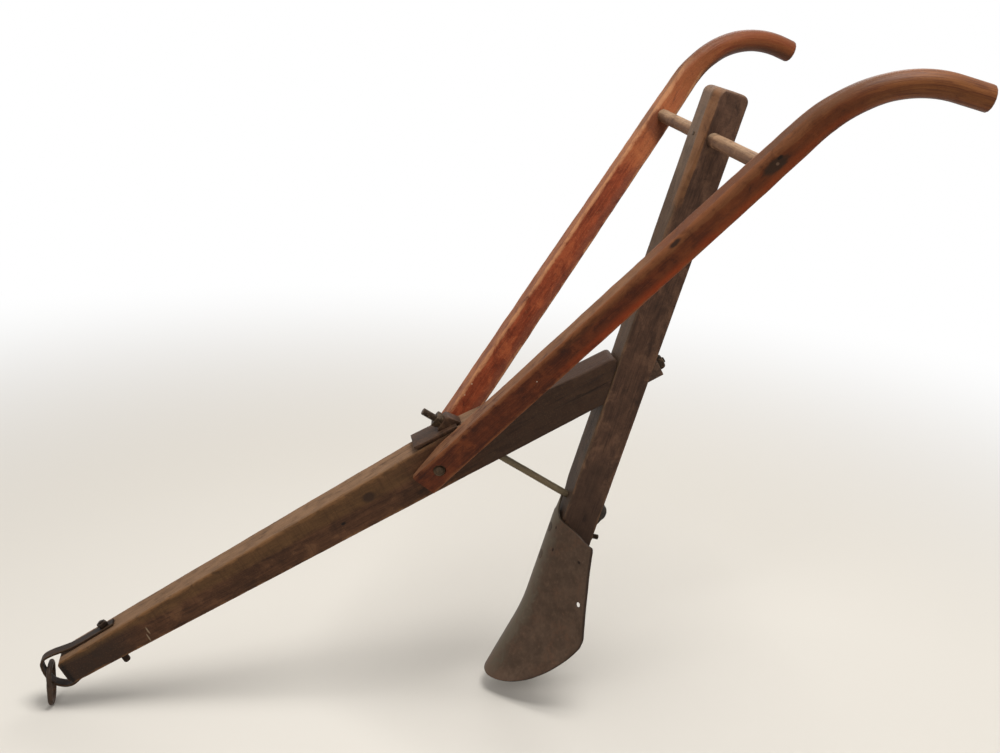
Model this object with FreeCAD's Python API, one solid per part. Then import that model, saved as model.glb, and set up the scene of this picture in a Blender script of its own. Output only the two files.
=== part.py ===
import FreeCAD, Part
import math
import os

os.makedirs("parts", exist_ok=True)

# One-horse wooden shovel plough for potatoes.  Millimetres.
# The plough is set out with its beam level: s runs back from the nose along the
# underside of the beam, y to the ploughman's left, z up.  It is then tipped
# nose-down to the way it stands with its draft link and blade on the ground.

# ---------------------------------------------------------------- sizes
PITCH = 29.3            # beam's slope when nose and blade are on the ground, deg

BEAM_W = 56.0           # beam, width
BEAM_FRONT = 64.0       # s of the beam's front end
BEAM_NOSE_H = 46.0      # depth of the beam at its nose
BEAM_JOINT_H = 84.5     # depth of the beam where the brace rod passes
BEAM_JOINT_S = 838.0
BEAM_SHOULDER = 51.0    # height up the standard where the rear top edge is dressed off

STD_W = 57.0            # standard, width
STD_FRONT_0 = 1084.5    # s where its front face meets z = 0
STD_DEPTH = 62.0        # standard, front to back
STD_LEAN = 43.95        # lean of the standard back from the vertical, deg
STD_TOP_Z = 397.0       # z of the front edge of its top end
STD_FOOT_Z = -296.0     # z of the front edge of its foot
FOOT_FLAT = 23.0        # half width left between the chamfers behind the shovel
FOOT_CHAMFER_FROM = 38.0    # where they begin, down the shovel's crest
STD_TOP_R = 13.0        # rounding of its top edges
TENON_W = 22.0          # stub tenon of the beam in the standard

HANDLE_T = 37.0         # handle, thickness
HANDLE_H0 = 47.0        # handle, depth at its front end
HANDLE_H1 = 41.0        # handle, depth where the bend starts
HANDLE_FRONT_S = 757.0  # s of the handle's front end
HANDLE_FRONT_Z = 28.8   # height of the handle's middle line there
HANDLE_RISE = 23.45     # slope of the straight part of a handle, deg
HANDLE_BEND_S = 1494.0  # s where the bend starts
BEND_R_UP = 205.0       # bend's radius up to its crest
BEND_R_DOWN = 168.0     # bend's radius from the crest to the grip
GRIP_D = 40.0           # hand grip, diameter
GRIP_DROP = {1: 43.0, -1: 50.0}         # slope of the left and right grip ends, deg
GRIP_STRAIGHT = {1: 49.0, -1: 22.0}     # straight end of the left and right grips
GRIP_WORN = 3.0         # wear of the grip's end edge
HOLD_DROP = 40.0        # slope of the grip where the hand holds it, deg
SPLAY_S = 0.311         # handle's move outward per mm of s and of z
SPLAY_Z = 0.153
SPLAY_Y0 = 46.5         # y of the handle's middle at s = 820, z = 60

ROUND_D = 24.0          # cross rung between the handles
ROUND_S = 1429.7
ROUND_Z = 320.5

BLADE_T = 4.0           # shovel blade, thickness
BLADE_R = 57.0          # outer radius of the crest
BLADE_SWEEP = 38.7      # sweep of each wing back from square, deg
BLADE_TOP = (952.9, -122.3)
BLADE_STRAIGHT = 195.0
BLADE_CURVE_R = 320.0   # forward bend of the lower blade
BLADE_TURN = 11.4       # how far it bends, deg
BLADE_LEN = 368.5
WING_HOLE = (160.5, 95.0)   # spare hole: distance down the crest, distance out
WING_HOLE_D = 9.0

FOOT_BOLT_D = 9.5       # countersunk bolts through blade and standard
FOOT_BOLT_DOWN = {"upper": 69.0, "lower": 123.0}
FOOT_BOLT_TURN = {"upper": 12.0, "lower": 40.0}
FOOT_BOLT_LONG = 94.0
FOOT_BOLT_HEAD = 18.0
SINK = 4.4              # depth of a countersunk head
FOOT_NUT = 16.5
FOOT_NUT_T = 8.0

ROD_D = 12.5            # long brace rod
ROD_TIP = (809.2, 131.3)
ROD_DIR = 60.5          # rod's slope down and back, deg
ROD_HEAD_R = 19.0       # domed head at its lower end
ROD_HEAD_D = 30.0
ROD_WASHER_D = 44.0
ROD_WASHER_T = 8.0      # thickness of the bevel washer on the rod's line
ROD_WASHER_LOW = 5.0    # washer sits low on the rod
ROD_NUT = 21.0
ROD_NUT_FROM, ROD_NUT_TO = 24.0, 35.5   # distances down the rod

BEAM_BOLT_D = 11.0      # long bolt that draws beam and standard together
BEAM_BOLT_Z = 9.5
BEAM_BOLT_NUT = 20.0
BEAM_BOLT_NUT_T = 10.5
BLOCK_W = 34.0          # bevelled block under its nut
BLOCK_BACK = 1198.4
BLOCK_LOW, BLOCK_HIGH = -8.0, 20.0

HANDLE_BOLT = (789.0, 44.0)
HANDLE_BOLT_D = 9.5
HANDLE_BOLT_SEAT = 50.6     # y of the washers' seats
HANDLE_BOLT_NUT = 15.0
WASHER_D, WASHER_T = 20.0, 2.1

STRAP_W = 21.0          # draft strap round the nose
STRAP_T = 4.5
CLEVIS_S = 158.0        # bolt through strap and beam
STRAP_BOLT_D = 9.5
STRAP_NUT = 15.5
STRAP_NUT_T = 8.0

LINK_BAR = 9.5          # draft link
PIVOT = (44.8, 38.0)    # its bar in the strap's bend
LINK_LONG = 70.0
LINK_HALF = 23.0
LINK_CORNER = 14.0

NAIL_D, NAIL_HEAD_D = 3.2, 6.4
FIT = 0.05              # clearance round a bolt or rod, on the radius


# ---------------------------------------------------------------- helpers
def V(s, y, z):
    return FreeCAD.Vector(-s, y, z)


def rad(a):
    return math.radians(a)


def line(a, b):
    return Part.makeLine(V(a[0], 0, a[1]), V(b[0], 0, b[1]))


def arc(a, m, b):
    return Part.Arc(V(a[0], 0, a[1]), V(m[0], 0, m[1]), V(b[0], 0, b[1])).toShape()


def spline(points):
    """Smooth curve through points in space."""
    c = Part.BSplineCurve()
    c.interpolate(points)
    return c.toShape()


def slab_edges(edges, y0, y1):
    """Side-view outline made into a plate between y0 and y1."""
    face = Part.Face(Part.Wire(edges))
    solid = face.extrude(FreeCAD.Vector(0, y1 - y0, 0))
    solid.translate(FreeCAD.Vector(0, y0, 0))
    return solid


def slab(points, y0, y1):
    ring = points + [points[0]]
    return slab_edges([line(a, b) for a, b in zip(ring, ring[1:])], y0, y1)


def rod(a, b, d):
    """Round bar from a to b, both (s, y, z)."""
    start, end = V(*a), V(*b)
    return Part.makeCylinder(d / 2, (end - start).Length, start, end - start)


def square_block(a, b, across, turn=0.0):
    """Square nut from a to b, with its outer corners dressed off."""
    start, end = V(*a), V(*b)
    length = (end - start).Length
    corner = FreeCAD.Vector(-across / 2, -across / 2, 0)
    box = Part.makeBox(across, across, length, corner)
    box = box.common(Part.makeCone(across * 0.78, across * 0.60, length))
    box.rotate(FreeCAD.Vector(), FreeCAD.Vector(0, 0, 1), turn)
    turn_to = FreeCAD.Rotation(FreeCAD.Vector(0, 0, 1), end - start)
    box.Placement = FreeCAD.Placement(start, turn_to)
    return box


parts = {}

# ---------------------------------------------------------------- directions
# along the standard (up and back) and square to it (back and down)
UP_S = math.sin(rad(STD_LEAN))
UP_Z = math.cos(rad(STD_LEAN))
BACK_S, BACK_Z = UP_Z, -UP_S
TAN_LEAN = UP_S / UP_Z
into = FreeCAD.Vector(-BACK_S, 0, BACK_Z)


def on_front(z, depth=0.0):
    """Point on the standard's front face at height z, moved back by depth."""
    s = STD_FRONT_0 + z * TAN_LEAN
    return (s + depth * BACK_S, z + depth * BACK_Z)


def along(p, up, back):
    return (p[0] + up * UP_S + back * BACK_S, p[1] + up * UP_Z + back * BACK_Z)


ROD_S = math.cos(rad(ROD_DIR))
ROD_Z = -math.sin(rad(ROD_DIR))


def on_rod(t):
    """Point on the brace rod's line, t down from its upper end."""
    return (ROD_TIP[0] + t * ROD_S, 0, ROD_TIP[1] + t * ROD_Z)


behind = slab([on_front(-330, STD_DEPTH), on_front(200, STD_DEPTH),
               on_front(200, STD_DEPTH + 150), on_front(-330, STD_DEPTH + 150)], -60, 60)

# ---------------------------------------------------------------- beam
slope = (BEAM_JOINT_H - BEAM_NOSE_H) / (BEAM_JOINT_S - BEAM_FRONT)
joint_foot = on_front(0.0)
shoulder = on_front(BEAM_SHOULDER)
rear_top = (shoulder[0] - 3, shoulder[1] + 15.5)
brow = (BEAM_FRONT + 5, BEAM_NOSE_H + slope * 5)
deepest = (BEAM_JOINT_S, BEAM_JOINT_H)
top_line = [rear_top, (1096, 67.4), (1040, 70.6), (975, 76.4), (915, 82.2), (870, 84.3), deepest]
beam_edges = [
    line((BEAM_FRONT + 6, 0), joint_foot),
    line(joint_foot, shoulder),
    arc(shoulder, (shoulder[0] + 4.4, shoulder[1] + 9.5), rear_top),
    spline([V(s, 0, z) for s, z in top_line]),
    line(deepest, brow),
    arc(brow, (BEAM_FRONT + 1.2, BEAM_NOSE_H - 2), (BEAM_FRONT, BEAM_NOSE_H - 7)),
    line((BEAM_FRONT, BEAM_NOSE_H - 7), (BEAM_FRONT, 7)),
    arc((BEAM_FRONT, 7), (BEAM_FRONT + 1.8, 2), (BEAM_FRONT + 6, 0)),
]
beam = slab_edges(beam_edges, -BEAM_W / 2, BEAM_W / 2)
tenon = slab([(1070, 8), (1128, 8), (1150, 34), (1092, 34)], -TENON_W / 2, TENON_W / 2)
beam = beam.fuse(tenon).removeSplitter()

# ---------------------------------------------------------------- standard
front_top = on_front(STD_TOP_Z)
back_top = along(front_top, 0, STD_DEPTH)
front_foot = on_front(STD_FOOT_Z)
back_foot = on_front(STD_FOOT_Z + 2, STD_DEPTH * 0.7)
heel = on_front(STD_FOOT_Z + 26, STD_DEPTH)
r = STD_TOP_R
r_mid = r * (1 - math.sqrt(0.5))
std_edges = [
    line(front_foot, along(front_top, -r, 0)),
    arc(along(front_top, -r, 0), along(front_top, -r_mid, r_mid), along(front_top, 0, r)),
    line(along(front_top, 0, r), along(back_top, -2, -r)),
    arc(along(back_top, -2, -r), along(back_top, -2 - r_mid, -r_mid), along(back_top, -2 - r, 0)),
    line(along(back_top, -2 - r, 0), heel),
    line(heel, back_foot),
    line(back_foot, front_foot),
]
standard = slab_edges(std_edges, -STD_W / 2, STD_W / 2)

# ---------------------------------------------------------------- handles
rise = rad(HANDLE_RISE)
straight = (HANDLE_BEND_S - HANDLE_FRONT_S) / math.cos(rise)
bend_start = (HANDLE_BEND_S, HANDLE_FRONT_Z + straight * math.sin(rise))
crest = (bend_start[0] + BEND_R_UP * math.sin(rise),
         bend_start[1] + BEND_R_UP * (1 - math.cos(rise)))


def bend_point(a):
    """Point of the handle's middle line where its slope is a (up positive)."""
    radius = BEND_R_UP if a > 0 else BEND_R_DOWN
    return (crest[0] - radius * math.sin(a), crest[1] - radius * (1 - math.cos(a)))


def handle_path(side):
    """Stations (s, z, slope, depth, thickness, corner) down one handle."""
    drop = rad(GRIP_DROP[side])
    out = []
    for back, depth, corner in ((straight, HANDLE_H0, 3.0), (0.14 * straight, HANDLE_H1, 4.0),
                                (45.0, HANDLE_H1 - 0.5, 8.0)):
        out.append((bend_start[0] - back * math.cos(rise), bend_start[1] - back * math.sin(rise),
                    rise, depth, HANDLE_T, corner))
    stations = [rise * (1 - i / 3) for i in range(4)] + [-drop * i / 6 for i in range(1, 7)]
    for i, a in enumerate(stations):
        s, z = bend_point(a)
        grow = min(1.0, i / 5)
        out.append((s, z, a, HANDLE_H1 - 0.5 + (GRIP_D - HANDLE_H1 + 0.5) * grow,
                    HANDLE_T + (GRIP_D - HANDLE_T) * grow, 8.0 + (GRIP_D / 2 - 8.6) * grow))
    s, z = bend_point(-drop)
    for go in (GRIP_STRAIGHT[side] / 2, GRIP_STRAIGHT[side]):
        out.append((s + go * math.cos(drop), z - go * math.sin(drop), -drop,
                    GRIP_D, GRIP_D, GRIP_D / 2 - 0.6))
    return out


def middle_line(station, side):
    """Place and direction of a handle's middle line at one station."""
    s, z, a = station[:3]
    y = SPLAY_Y0 + SPLAY_S * (s - 820) + SPLAY_Z * (z - 60)
    ds, dz = math.cos(a), math.sin(a)
    go = FreeCAD.Vector(-ds, side * (SPLAY_S * ds + SPLAY_Z * dz), dz)
    go.normalize()
    return FreeCAD.Vector(-s, side * y, z), go


def section(station, side):
    """Rounded rectangle of eight edges, square to the handle at one station."""
    depth, thick, c = station[3:]
    centre, go = middle_line(station, side)
    out = FreeCAD.Vector(SPLAY_S, side, -SPLAY_Z)
    out.normalize()
    up = go.cross(out) * -side
    up.normalize()
    hw, hh = thick / 2, depth / 2
    m = c * math.sqrt(0.5)
    corners = []
    for sx, sy in ((1, 1), (-1, 1), (-1, -1), (1, -1)):
        cx, cy = sx * (hw - c), sy * (hh - c)
        first = (sx * hw, cy) if sx * sy > 0 else (cx, sy * hh)
        last = (cx, sy * hh) if sx * sy > 0 else (sx * hw, cy)
        trio = [first, (cx + sx * m, cy + sy * m), last]
        corners.append([centre + out * p + up * q for p, q in trio])
    edges = []
    for i, (first, middle, last) in enumerate(corners):
        edges.append(Part.Arc(first, middle, last).toShape())
        edges.append(Part.makeLine(last, corners[(i + 1) % 4][0]))
    return Part.Wire(edges)


def handle(side):
    stations = handle_path(side)
    front = Part.makeLoft([section(p, side) for p in stations[:4]], True, True)
    back = Part.makeLoft([section(p, side) for p in stations[3:]], True, False)
    whole = front.fuse(back).removeSplitter()
    # front end bevelled on its inner side to lie flat on the beam
    gone = Part.makeBox(400, BEAM_W, 500, FreeCAD.Vector(-1000, -BEAM_W / 2, -120))
    # edge of the grip's end worn away
    end, go = middle_line(stations[-1], side)
    r = GRIP_D / 2
    kept = Part.makeCone(r + 1, r - GRIP_WORN, GRIP_WORN + 1, end - go * (GRIP_WORN + 1), go)
    worn = Part.makeCylinder(r + 8, GRIP_WORN + 1, end - go * (GRIP_WORN + 1), go).cut(kept)
    return whole.cut(gone).cut(worn)


left_handle = handle(1)
right_handle = handle(-1)

# ---------------------------------------------------------------- round
cant = math.sqrt(1 + SPLAY_S ** 2 + SPLAY_Z ** 2)
round_end = SPLAY_Y0 + SPLAY_S * (ROUND_S - 820) + SPLAY_Z * (ROUND_Z - 60) + HANDLE_T / 2 * cant
handle_round = rod((ROUND_S, -round_end, ROUND_Z), (ROUND_S, round_end, ROUND_Z), ROUND_D)
round_hole = rod((ROUND_S, -400, ROUND_Z), (ROUND_S, 400, ROUND_Z), ROUND_D + 2 * FIT)
standard = standard.cut(round_hole)
left_handle = left_handle.cut(round_hole)
right_handle = right_handle.cut(round_hole)


# ---------------------------------------------------------------- blade
def on_plate(t, w, back):
    """Point t down the straight crest, w to the left and back behind its outer face."""
    return FreeCAD.Vector(-(BLADE_TOP[0] - t * UP_S + back * BACK_S), w,
                          BLADE_TOP[1] - t * UP_Z + back * BACK_Z)


def crest_point(t):
    """Point t down the crest: straight, then bending forward, then straight to the point."""
    over = t - BLADE_STRAIGHT
    if over <= 0:
        return on_plate(t, 0, 0)
    turn = min(over / BLADE_CURVE_R, rad(BLADE_TURN))
    past = over - turn * BLADE_CURVE_R
    return on_plate(BLADE_STRAIGHT + BLADE_CURVE_R * math.sin(turn) + past * math.cos(turn), 0,
                    BLADE_CURVE_R * (math.cos(turn) - 1) - past * math.sin(turn))


bend_long = BLADE_CURVE_R * rad(BLADE_TURN)
bend_points = [crest_point(BLADE_STRAIGHT + bend_long * k / 2) for k in range(3)]
spine = Part.Wire([
    Part.makeLine(crest_point(0), bend_points[0]),
    Part.Arc(*bend_points).toShape(),
    Part.makeLine(bend_points[2], crest_point(BLADE_LEN + 20)),
])


def half_v(offset):
    """Ends of the round crest and of the flat wing, offset in from the outer face."""
    radius = BLADE_R - offset
    a = rad(BLADE_SWEEP)
    tan_w, tan_g = radius * math.sin(a), offset + radius * (1 - math.cos(a))
    return (tan_w, tan_g), (150.0, tan_g + (150.0 - tan_w) * math.tan(a))


(tw, tg), (ew, eg) = half_v(0)
(iw, ig), (fw, fg) = half_v(BLADE_T)
profile = Part.Wire([
    Part.makeLine(on_plate(0, -ew, eg), on_plate(0, -tw, tg)),
    Part.Arc(on_plate(0, -tw, tg), on_plate(0, 0, 0), on_plate(0, tw, tg)).toShape(),
    Part.makeLine(on_plate(0, tw, tg), on_plate(0, ew, eg)),
    Part.makeLine(on_plate(0, ew, eg), on_plate(0, fw, fg)),
    Part.makeLine(on_plate(0, fw, fg), on_plate(0, iw, ig)),
    Part.Arc(on_plate(0, iw, ig), on_plate(0, 0, BLADE_T), on_plate(0, -iw, ig)).toShape(),
    Part.makeLine(on_plate(0, -iw, ig), on_plate(0, -fw, fg)),
    Part.makeLine(on_plate(0, -fw, fg), on_plate(0, -ew, eg)),
])
blade = spine.makePipeShell([profile], True, False)

# half outline of the blade as seen square to the straight crest: worn narrow neck,
# near-straight side, rounded and worn lower edge
neck = [(0, 0), (9, 3), (20, 4.6), (30, 7.5), (37, 12.5), (41.5, 20), (43.9, 29), (46.2, 44),
        (50, 59.5), (54.5, 71), (57, 80), (59.5, 86)]
side_edge = [(59.5, 86), (78, 89.7), (104, 94.7), (132, 101), (163, 107.7), (193, 115), (204, 118.6)]
bottom = [(204, 118.6), (212, 121.2), (221, 121.4), (231, 120.5), (255.5, 113.5), (276, 105.9),
          (295, 97.7), (312, 88.3), (328, 78), (341.4, 66.4), (353, 53.6), (361.5, 39.5),
          (367, 22.5), (BLADE_LEN - 0.3, 12), (BLADE_LEN, 0)]
outline = []
for side in (1, -1):
    outline.append(spline([on_plate(t, side * w, -60) for t, w in neck]))
    outline.append(spline([on_plate(t, side * w, -60) for t, w in side_edge]))
low_edge = [on_plate(t, w, -60) for t, w in bottom]
low_edge += [on_plate(t, -w, -60) for t, w in reversed(bottom[:-1])]
outline.append(spline(low_edge))
cutter = Part.Face(Part.Wire(Part.__sortEdges__(outline))).extrude(into * 260)
blade = blade.common(cutter)

# ---------------------------------------------------------------- plough bolts
# the foot's front arrises are chamfered to lie inside the shovel
stand_off = (STD_FRONT_0 + BLADE_TOP[1] * TAN_LEAN - BLADE_TOP[0]) * BACK_S
for side in (1, -1):
    side_w = STD_W / 2 + 2
    corner = [(FOOT_FLAT - 2, -2), (side_w, side_w - FOOT_FLAT), (side_w, -2)]
    corner = [on_plate(FOOT_CHAMFER_FROM, side * w, stand_off + deep) for w, deep in corner]
    face = Part.Face(Part.makePolygon(corner + corner[:1]))
    standard = standard.cut(face.extrude(on_plate(260, 0, 0) - on_plate(0, 0, 0)))
for name in ("upper", "lower"):
    start = on_plate(FOOT_BOLT_DOWN[name], 0, 0.5)
    head = Part.makeCone(FOOT_BOLT_HEAD / 2, FOOT_BOLT_D / 2, SINK, start, into)
    shank = Part.makeCylinder(FOOT_BOLT_D / 2, FOOT_BOLT_LONG - SINK, start + into * SINK, into)
    hole = Part.makeCylinder(FOOT_BOLT_D / 2 + FIT, 130, start, into)
    sink = Part.makeCone(FOOT_BOLT_HEAD / 2 + FIT, FOOT_BOLT_D / 2 + FIT, SINK + FIT, start, into)
    mouth = Part.makeCylinder(FOOT_BOLT_HEAD / 2 + FIT, 20, start - into * 20, into)
    blade = blade.cut(hole.fuse(sink)).cut(mouth)
    standard = standard.cut(hole)
    seat = on_plate(FOOT_BOLT_DOWN[name], 0, stand_off + STD_DEPTH)
    end = seat + into * FOOT_NUT_T
    nut = square_block((-seat.x, 0, seat.z), (-end.x, 0, end.z), FOOT_NUT, FOOT_BOLT_TURN[name])
    parts["shovel_bolt_" + name] = head.fuse(shank).removeSplitter()
    parts["shovel_bolt_nut_" + name] = nut.cut(hole)

# spare bolt hole in each wing, square to the plate
hole_back = tg + (WING_HOLE[1] - tw) * math.tan(rad(BLADE_SWEEP))
for side in (1, -1):
    mouth = on_plate(WING_HOLE[0], side * WING_HOLE[1], hole_back)
    through = into * math.cos(rad(BLADE_SWEEP))
    through += FreeCAD.Vector(0, -side * math.sin(rad(BLADE_SWEEP)), 0)
    blade = blade.cut(Part.makeCylinder(WING_HOLE_D / 2, 30, mouth - through * 15, through))

# ---------------------------------------------------------------- brace rod
# down through the beam and the standard to a bevel washer behind it
rear_s, rear_z = on_front(0, STD_DEPTH)
rear_t = (rear_s - ROD_TIP[0] + (ROD_TIP[1] - rear_z) * TAN_LEAN) / (ROD_S - ROD_Z * TAN_LEAN)
seat_t = rear_t + ROD_WASHER_T
rod_hole = rod(on_rod(-20), on_rod(rear_t + 60), ROD_D + 2 * FIT)
shank = rod(on_rod(0), on_rod(seat_t + 2), ROD_D)
rod_axis = V(*on_rod(1)) - V(*on_rod(0))
dome = Part.makeSphere(ROD_HEAD_R, V(*on_rod(seat_t - 8.5)), rod_axis)
dome = dome.common(rod(on_rod(seat_t), on_rod(seat_t + 20), ROD_HEAD_D))
parts["brace_rod"] = shank.fuse(dome).removeSplitter()
disc = rod(on_rod(rear_t - 30), on_rod(seat_t), ROD_WASHER_D)
disc.translate(V(ROD_WASHER_LOW * ROD_Z, 0, -ROD_WASHER_LOW * ROD_S))
parts["brace_rod_washer"] = disc.common(behind).cut(rod_hole)
nut = square_block(on_rod(ROD_NUT_FROM), on_rod(ROD_NUT_TO), ROD_NUT, 20)
parts["brace_rod_nut"] = nut.cut(rod_hole)

# iron saddle on the beam: a plate whose front end has lifted, with a lug
# that gives the nut a face square to the rod
seat_s, _, seat_z = on_rod(ROD_NUT_TO)
plate = slab([(768, 86.9), (848, 84.7), (849, 90.3), (768.5, 92.3)], -28.5, 28.5)
lug = slab([(seat_s + 13 * ROD_Z, seat_z - 13 * ROD_S), (seat_s - 12 * ROD_Z, seat_z + 12 * ROD_S),
            (seat_s - 12 * ROD_Z + 5, seat_z + 12 * ROD_S), (858, 86.0), (848, 85.1), (830, 85.6)],
           -15, 15)
saddle = plate.fuse(lug).removeSplitter().cut(rod_hole)
beam = beam.cut(rod_hole)
standard = standard.cut(rod_hole)
blade = blade.cut(rod(on_rod(200), on_rod(380), ROD_D + 0.6))
parts["rod_saddle"] = saddle.cut(beam)

# ---------------------------------------------------------------- beam bolt
# draws the beam up to the standard; bevelled block and nut at the back
bolt_line = [(BLOCK_BACK + a, 0, BEAM_BOLT_Z) for a in (-103.5, 0.0, BEAM_BOLT_NUT_T, 13.5, 60.0)]
bolt_hole = rod(bolt_line[0], bolt_line[4], BEAM_BOLT_D + 2 * FIT)
parts["beam_bolt"] = rod(bolt_line[0], bolt_line[3], BEAM_BOLT_D)
block = slab([(1100, BLOCK_LOW), (BLOCK_BACK, BLOCK_LOW), (BLOCK_BACK, BLOCK_HIGH),
              (1100, BLOCK_HIGH)], -BLOCK_W / 2, BLOCK_W / 2)
parts["beam_bolt_block"] = block.common(behind).cut(bolt_hole)
parts["beam_bolt_nut"] = square_block(bolt_line[1], bolt_line[2], BEAM_BOLT_NUT, 18).cut(bolt_hole)
beam = beam.cut(bolt_hole)
standard = standard.cut(bolt_hole)
standard = standard.cut(beam)


# ---------------------------------------------------------------- handle bolt
# through both handles and the beam, domed head on the left and nut on the right
def on_handle_bolt(y):
    return (HANDLE_BOLT[0], y, HANDLE_BOLT[1])


seat = HANDLE_BOLT_SEAT
top = seat + WASHER_T
bolt_hole = rod(on_handle_bolt(-90), on_handle_bolt(90), HANDLE_BOLT_D + 2 * FIT)
shank = rod(on_handle_bolt(-61), on_handle_bolt(top + 1), HANDLE_BOLT_D)
cap = Part.makeSphere(9.0, V(*on_handle_bolt(seat - 0.5)))
cap = cap.common(rod(on_handle_bolt(top), on_handle_bolt(top + 20), 30))
parts["handle_bolt"] = shank.fuse(cap).removeSplitter()
spots = []
for side, word in ((1, "left"), (-1, "right")):
    washer = rod(on_handle_bolt(side * seat), on_handle_bolt(side * top), WASHER_D)
    parts["handle_washer_" + word] = washer.cut(bolt_hole)
    spots.append(rod(on_handle_bolt(side * seat), on_handle_bolt(side * (seat + 30)), WASHER_D + 2))
nut = square_block(on_handle_bolt(-top), on_handle_bolt(-top - 7.4), HANDLE_BOLT_NUT, 25)
parts["handle_bolt_nut"] = nut.cut(bolt_hole)
left_handle = left_handle.cut(bolt_hole).cut(spots[0])
right_handle = right_handle.cut(bolt_hole).cut(spots[1])
beam = beam.cut(bolt_hole)

# ---------------------------------------------------------------- draft strap
# bent flat bar: along the top, round the nose, back under the beam
mid_line = [(176, 54.5), (140, 52.6), (114, 51.3), (96, 51.3), (80, 53.2), (66, 55.6),
            (54, 56.6), (44, 55.6), (37, 51), (33.4, 43), (31.5, 31), (32, 19), (35, 8.5),
            (41, 0.5), (49, -6), (58, -9.0), (67, -8.3), (78, -5.4), (92, -3.2), (112, -2.35),
            (140, -2.3), (170, -2.3)]
bend = Part.BSplineCurve()
bend.interpolate([V(s, 0, z) for s, z in mid_line])


def beside(curve, gap, count=60):
    """Points at a distance from a curve in the side view."""
    out = []
    for i in range(count + 1):
        u = curve.FirstParameter + (curve.LastParameter - curve.FirstParameter) * i / count
        p, t = curve.value(u), curve.tangent(u)[0]
        out.append(p + FreeCAD.Vector(t.z, 0, -t.x) * gap)
    return out


outer = beside(bend, STRAP_T / 2)
inner = beside(bend, -STRAP_T / 2)
strap = Part.Face(Part.Wire([spline(outer), Part.makeLine(outer[-1], inner[-1]),
                             spline(inner[::-1]), Part.makeLine(inner[0], outer[0])]))
strap = strap.extrude(FreeCAD.Vector(0, STRAP_W, 0))
strap.translate(FreeCAD.Vector(0, -STRAP_W / 2, 0))
clevis_hole = rod((CLEVIS_S, 0, -60), (CLEVIS_S, 0, 120), STRAP_BOLT_D + 2 * FIT)
parts["draft_strap"] = strap.cut(clevis_hole).cut(beam)
beam = beam.cut(clevis_hole)
strap_top = 53.9 + STRAP_T / 2 + 0.3
strap_low = -5.6
shank = rod((CLEVIS_S, 0, strap_low - 6), (CLEVIS_S, 0, strap_top + 10), STRAP_BOLT_D)
cap = Part.makeSphere(9.5, V(CLEVIS_S, 0, strap_low - 7.4))
cap = cap.common(rod((CLEVIS_S, 0, strap_low), (CLEVIS_S, 0, strap_low - 25), 13))
parts["strap_bolt"] = shank.fuse(cap).removeSplitter()
nut = square_block((CLEVIS_S, 0, strap_top), (CLEVIS_S, 0, strap_top + STRAP_NUT_T), STRAP_NUT, 33)
parts["strap_bolt_nut"] = nut.cut(clevis_hole)

# ---------------------------------------------------------------- draft link
# ring with a straight bar inside the strap's bend; hangs plumb
hang = rad(270 - PITCH)            # plumb, seen in the level plough's side view


def on_link(y, t):
    return V(PIVOT[0] + t * math.cos(hang), y, PIVOT[1] + t * math.sin(hang))


def link_arc(a, m, b):
    return Part.Arc(on_link(*a), on_link(*m), on_link(*b)).toShape()


half = LINK_HALF
flat = half - LINK_CORNER
turn_in = LINK_CORNER * (1 - math.sqrt(0.5))
bow = LINK_LONG - half
m = half * math.sqrt(0.5)
link_spine = Part.Wire([
    Part.makeLine(on_link(0, 0), on_link(flat, 0)),
    link_arc((flat, 0), (half - turn_in, turn_in), (half, LINK_CORNER)),
    Part.makeLine(on_link(half, LINK_CORNER), on_link(half, bow)),
    link_arc((half, bow), (m, bow + m), (0, LINK_LONG)),
    link_arc((0, LINK_LONG), (-m, bow + m), (-half, bow)),
    Part.makeLine(on_link(-half, bow), on_link(-half, LINK_CORNER)),
    link_arc((-half, LINK_CORNER), (turn_in - half, turn_in), (-flat, 0)),
    Part.makeLine(on_link(-flat, 0), on_link(0, 0)),
])
bar = Part.Circle(on_link(0, 0), FreeCAD.Vector(0, 1, 0), LINK_BAR / 2).toShape()
parts["draft_link"] = link_spine.makePipeShell([Part.Wire(bar)], True, False)

# ---------------------------------------------------------------- nail
# through the standard's front face into the round
deep = (ROUND_S - STD_FRONT_0 - ROUND_Z * TAN_LEAN) * UP_Z
nail_at = V(ROUND_S - deep * BACK_S, 0, ROUND_Z - deep * BACK_Z)
nail_long = deep - ROUND_D / 2 + 9
nail = Part.makeCylinder(NAIL_D / 2, nail_long, nail_at, into)
nail_head = Part.makeCylinder(NAIL_HEAD_D / 2, 1.2, nail_at - into * 1.2, into)
parts["standard_nail"] = nail.fuse(nail_head).removeSplitter()
nail_hole = Part.makeCylinder(NAIL_D / 2 + FIT, nail_long + 0.1, nail_at, into)
standard = standard.cut(nail_hole)
handle_round = handle_round.cut(nail_hole)

parts["beam"] = beam
parts["standard"] = standard
parts["left_handle"] = left_handle
parts["right_handle"] = right_handle
parts["handle_round"] = handle_round
parts["shovel_blade"] = blade

# ---------------------------------------------------------------- stored pose
# tipped nose-down, then moved so that the point midway between the two hand
# grips, where the ploughman holds it, is the origin
hold = bend_point(-rad(HOLD_DROP))
turned = FreeCAD.Rotation(FreeCAD.Vector(0, 1, 0), PITCH)
place = FreeCAD.Placement(-turned.multVec(V(hold[0], 0, hold[1])), turned)

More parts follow.
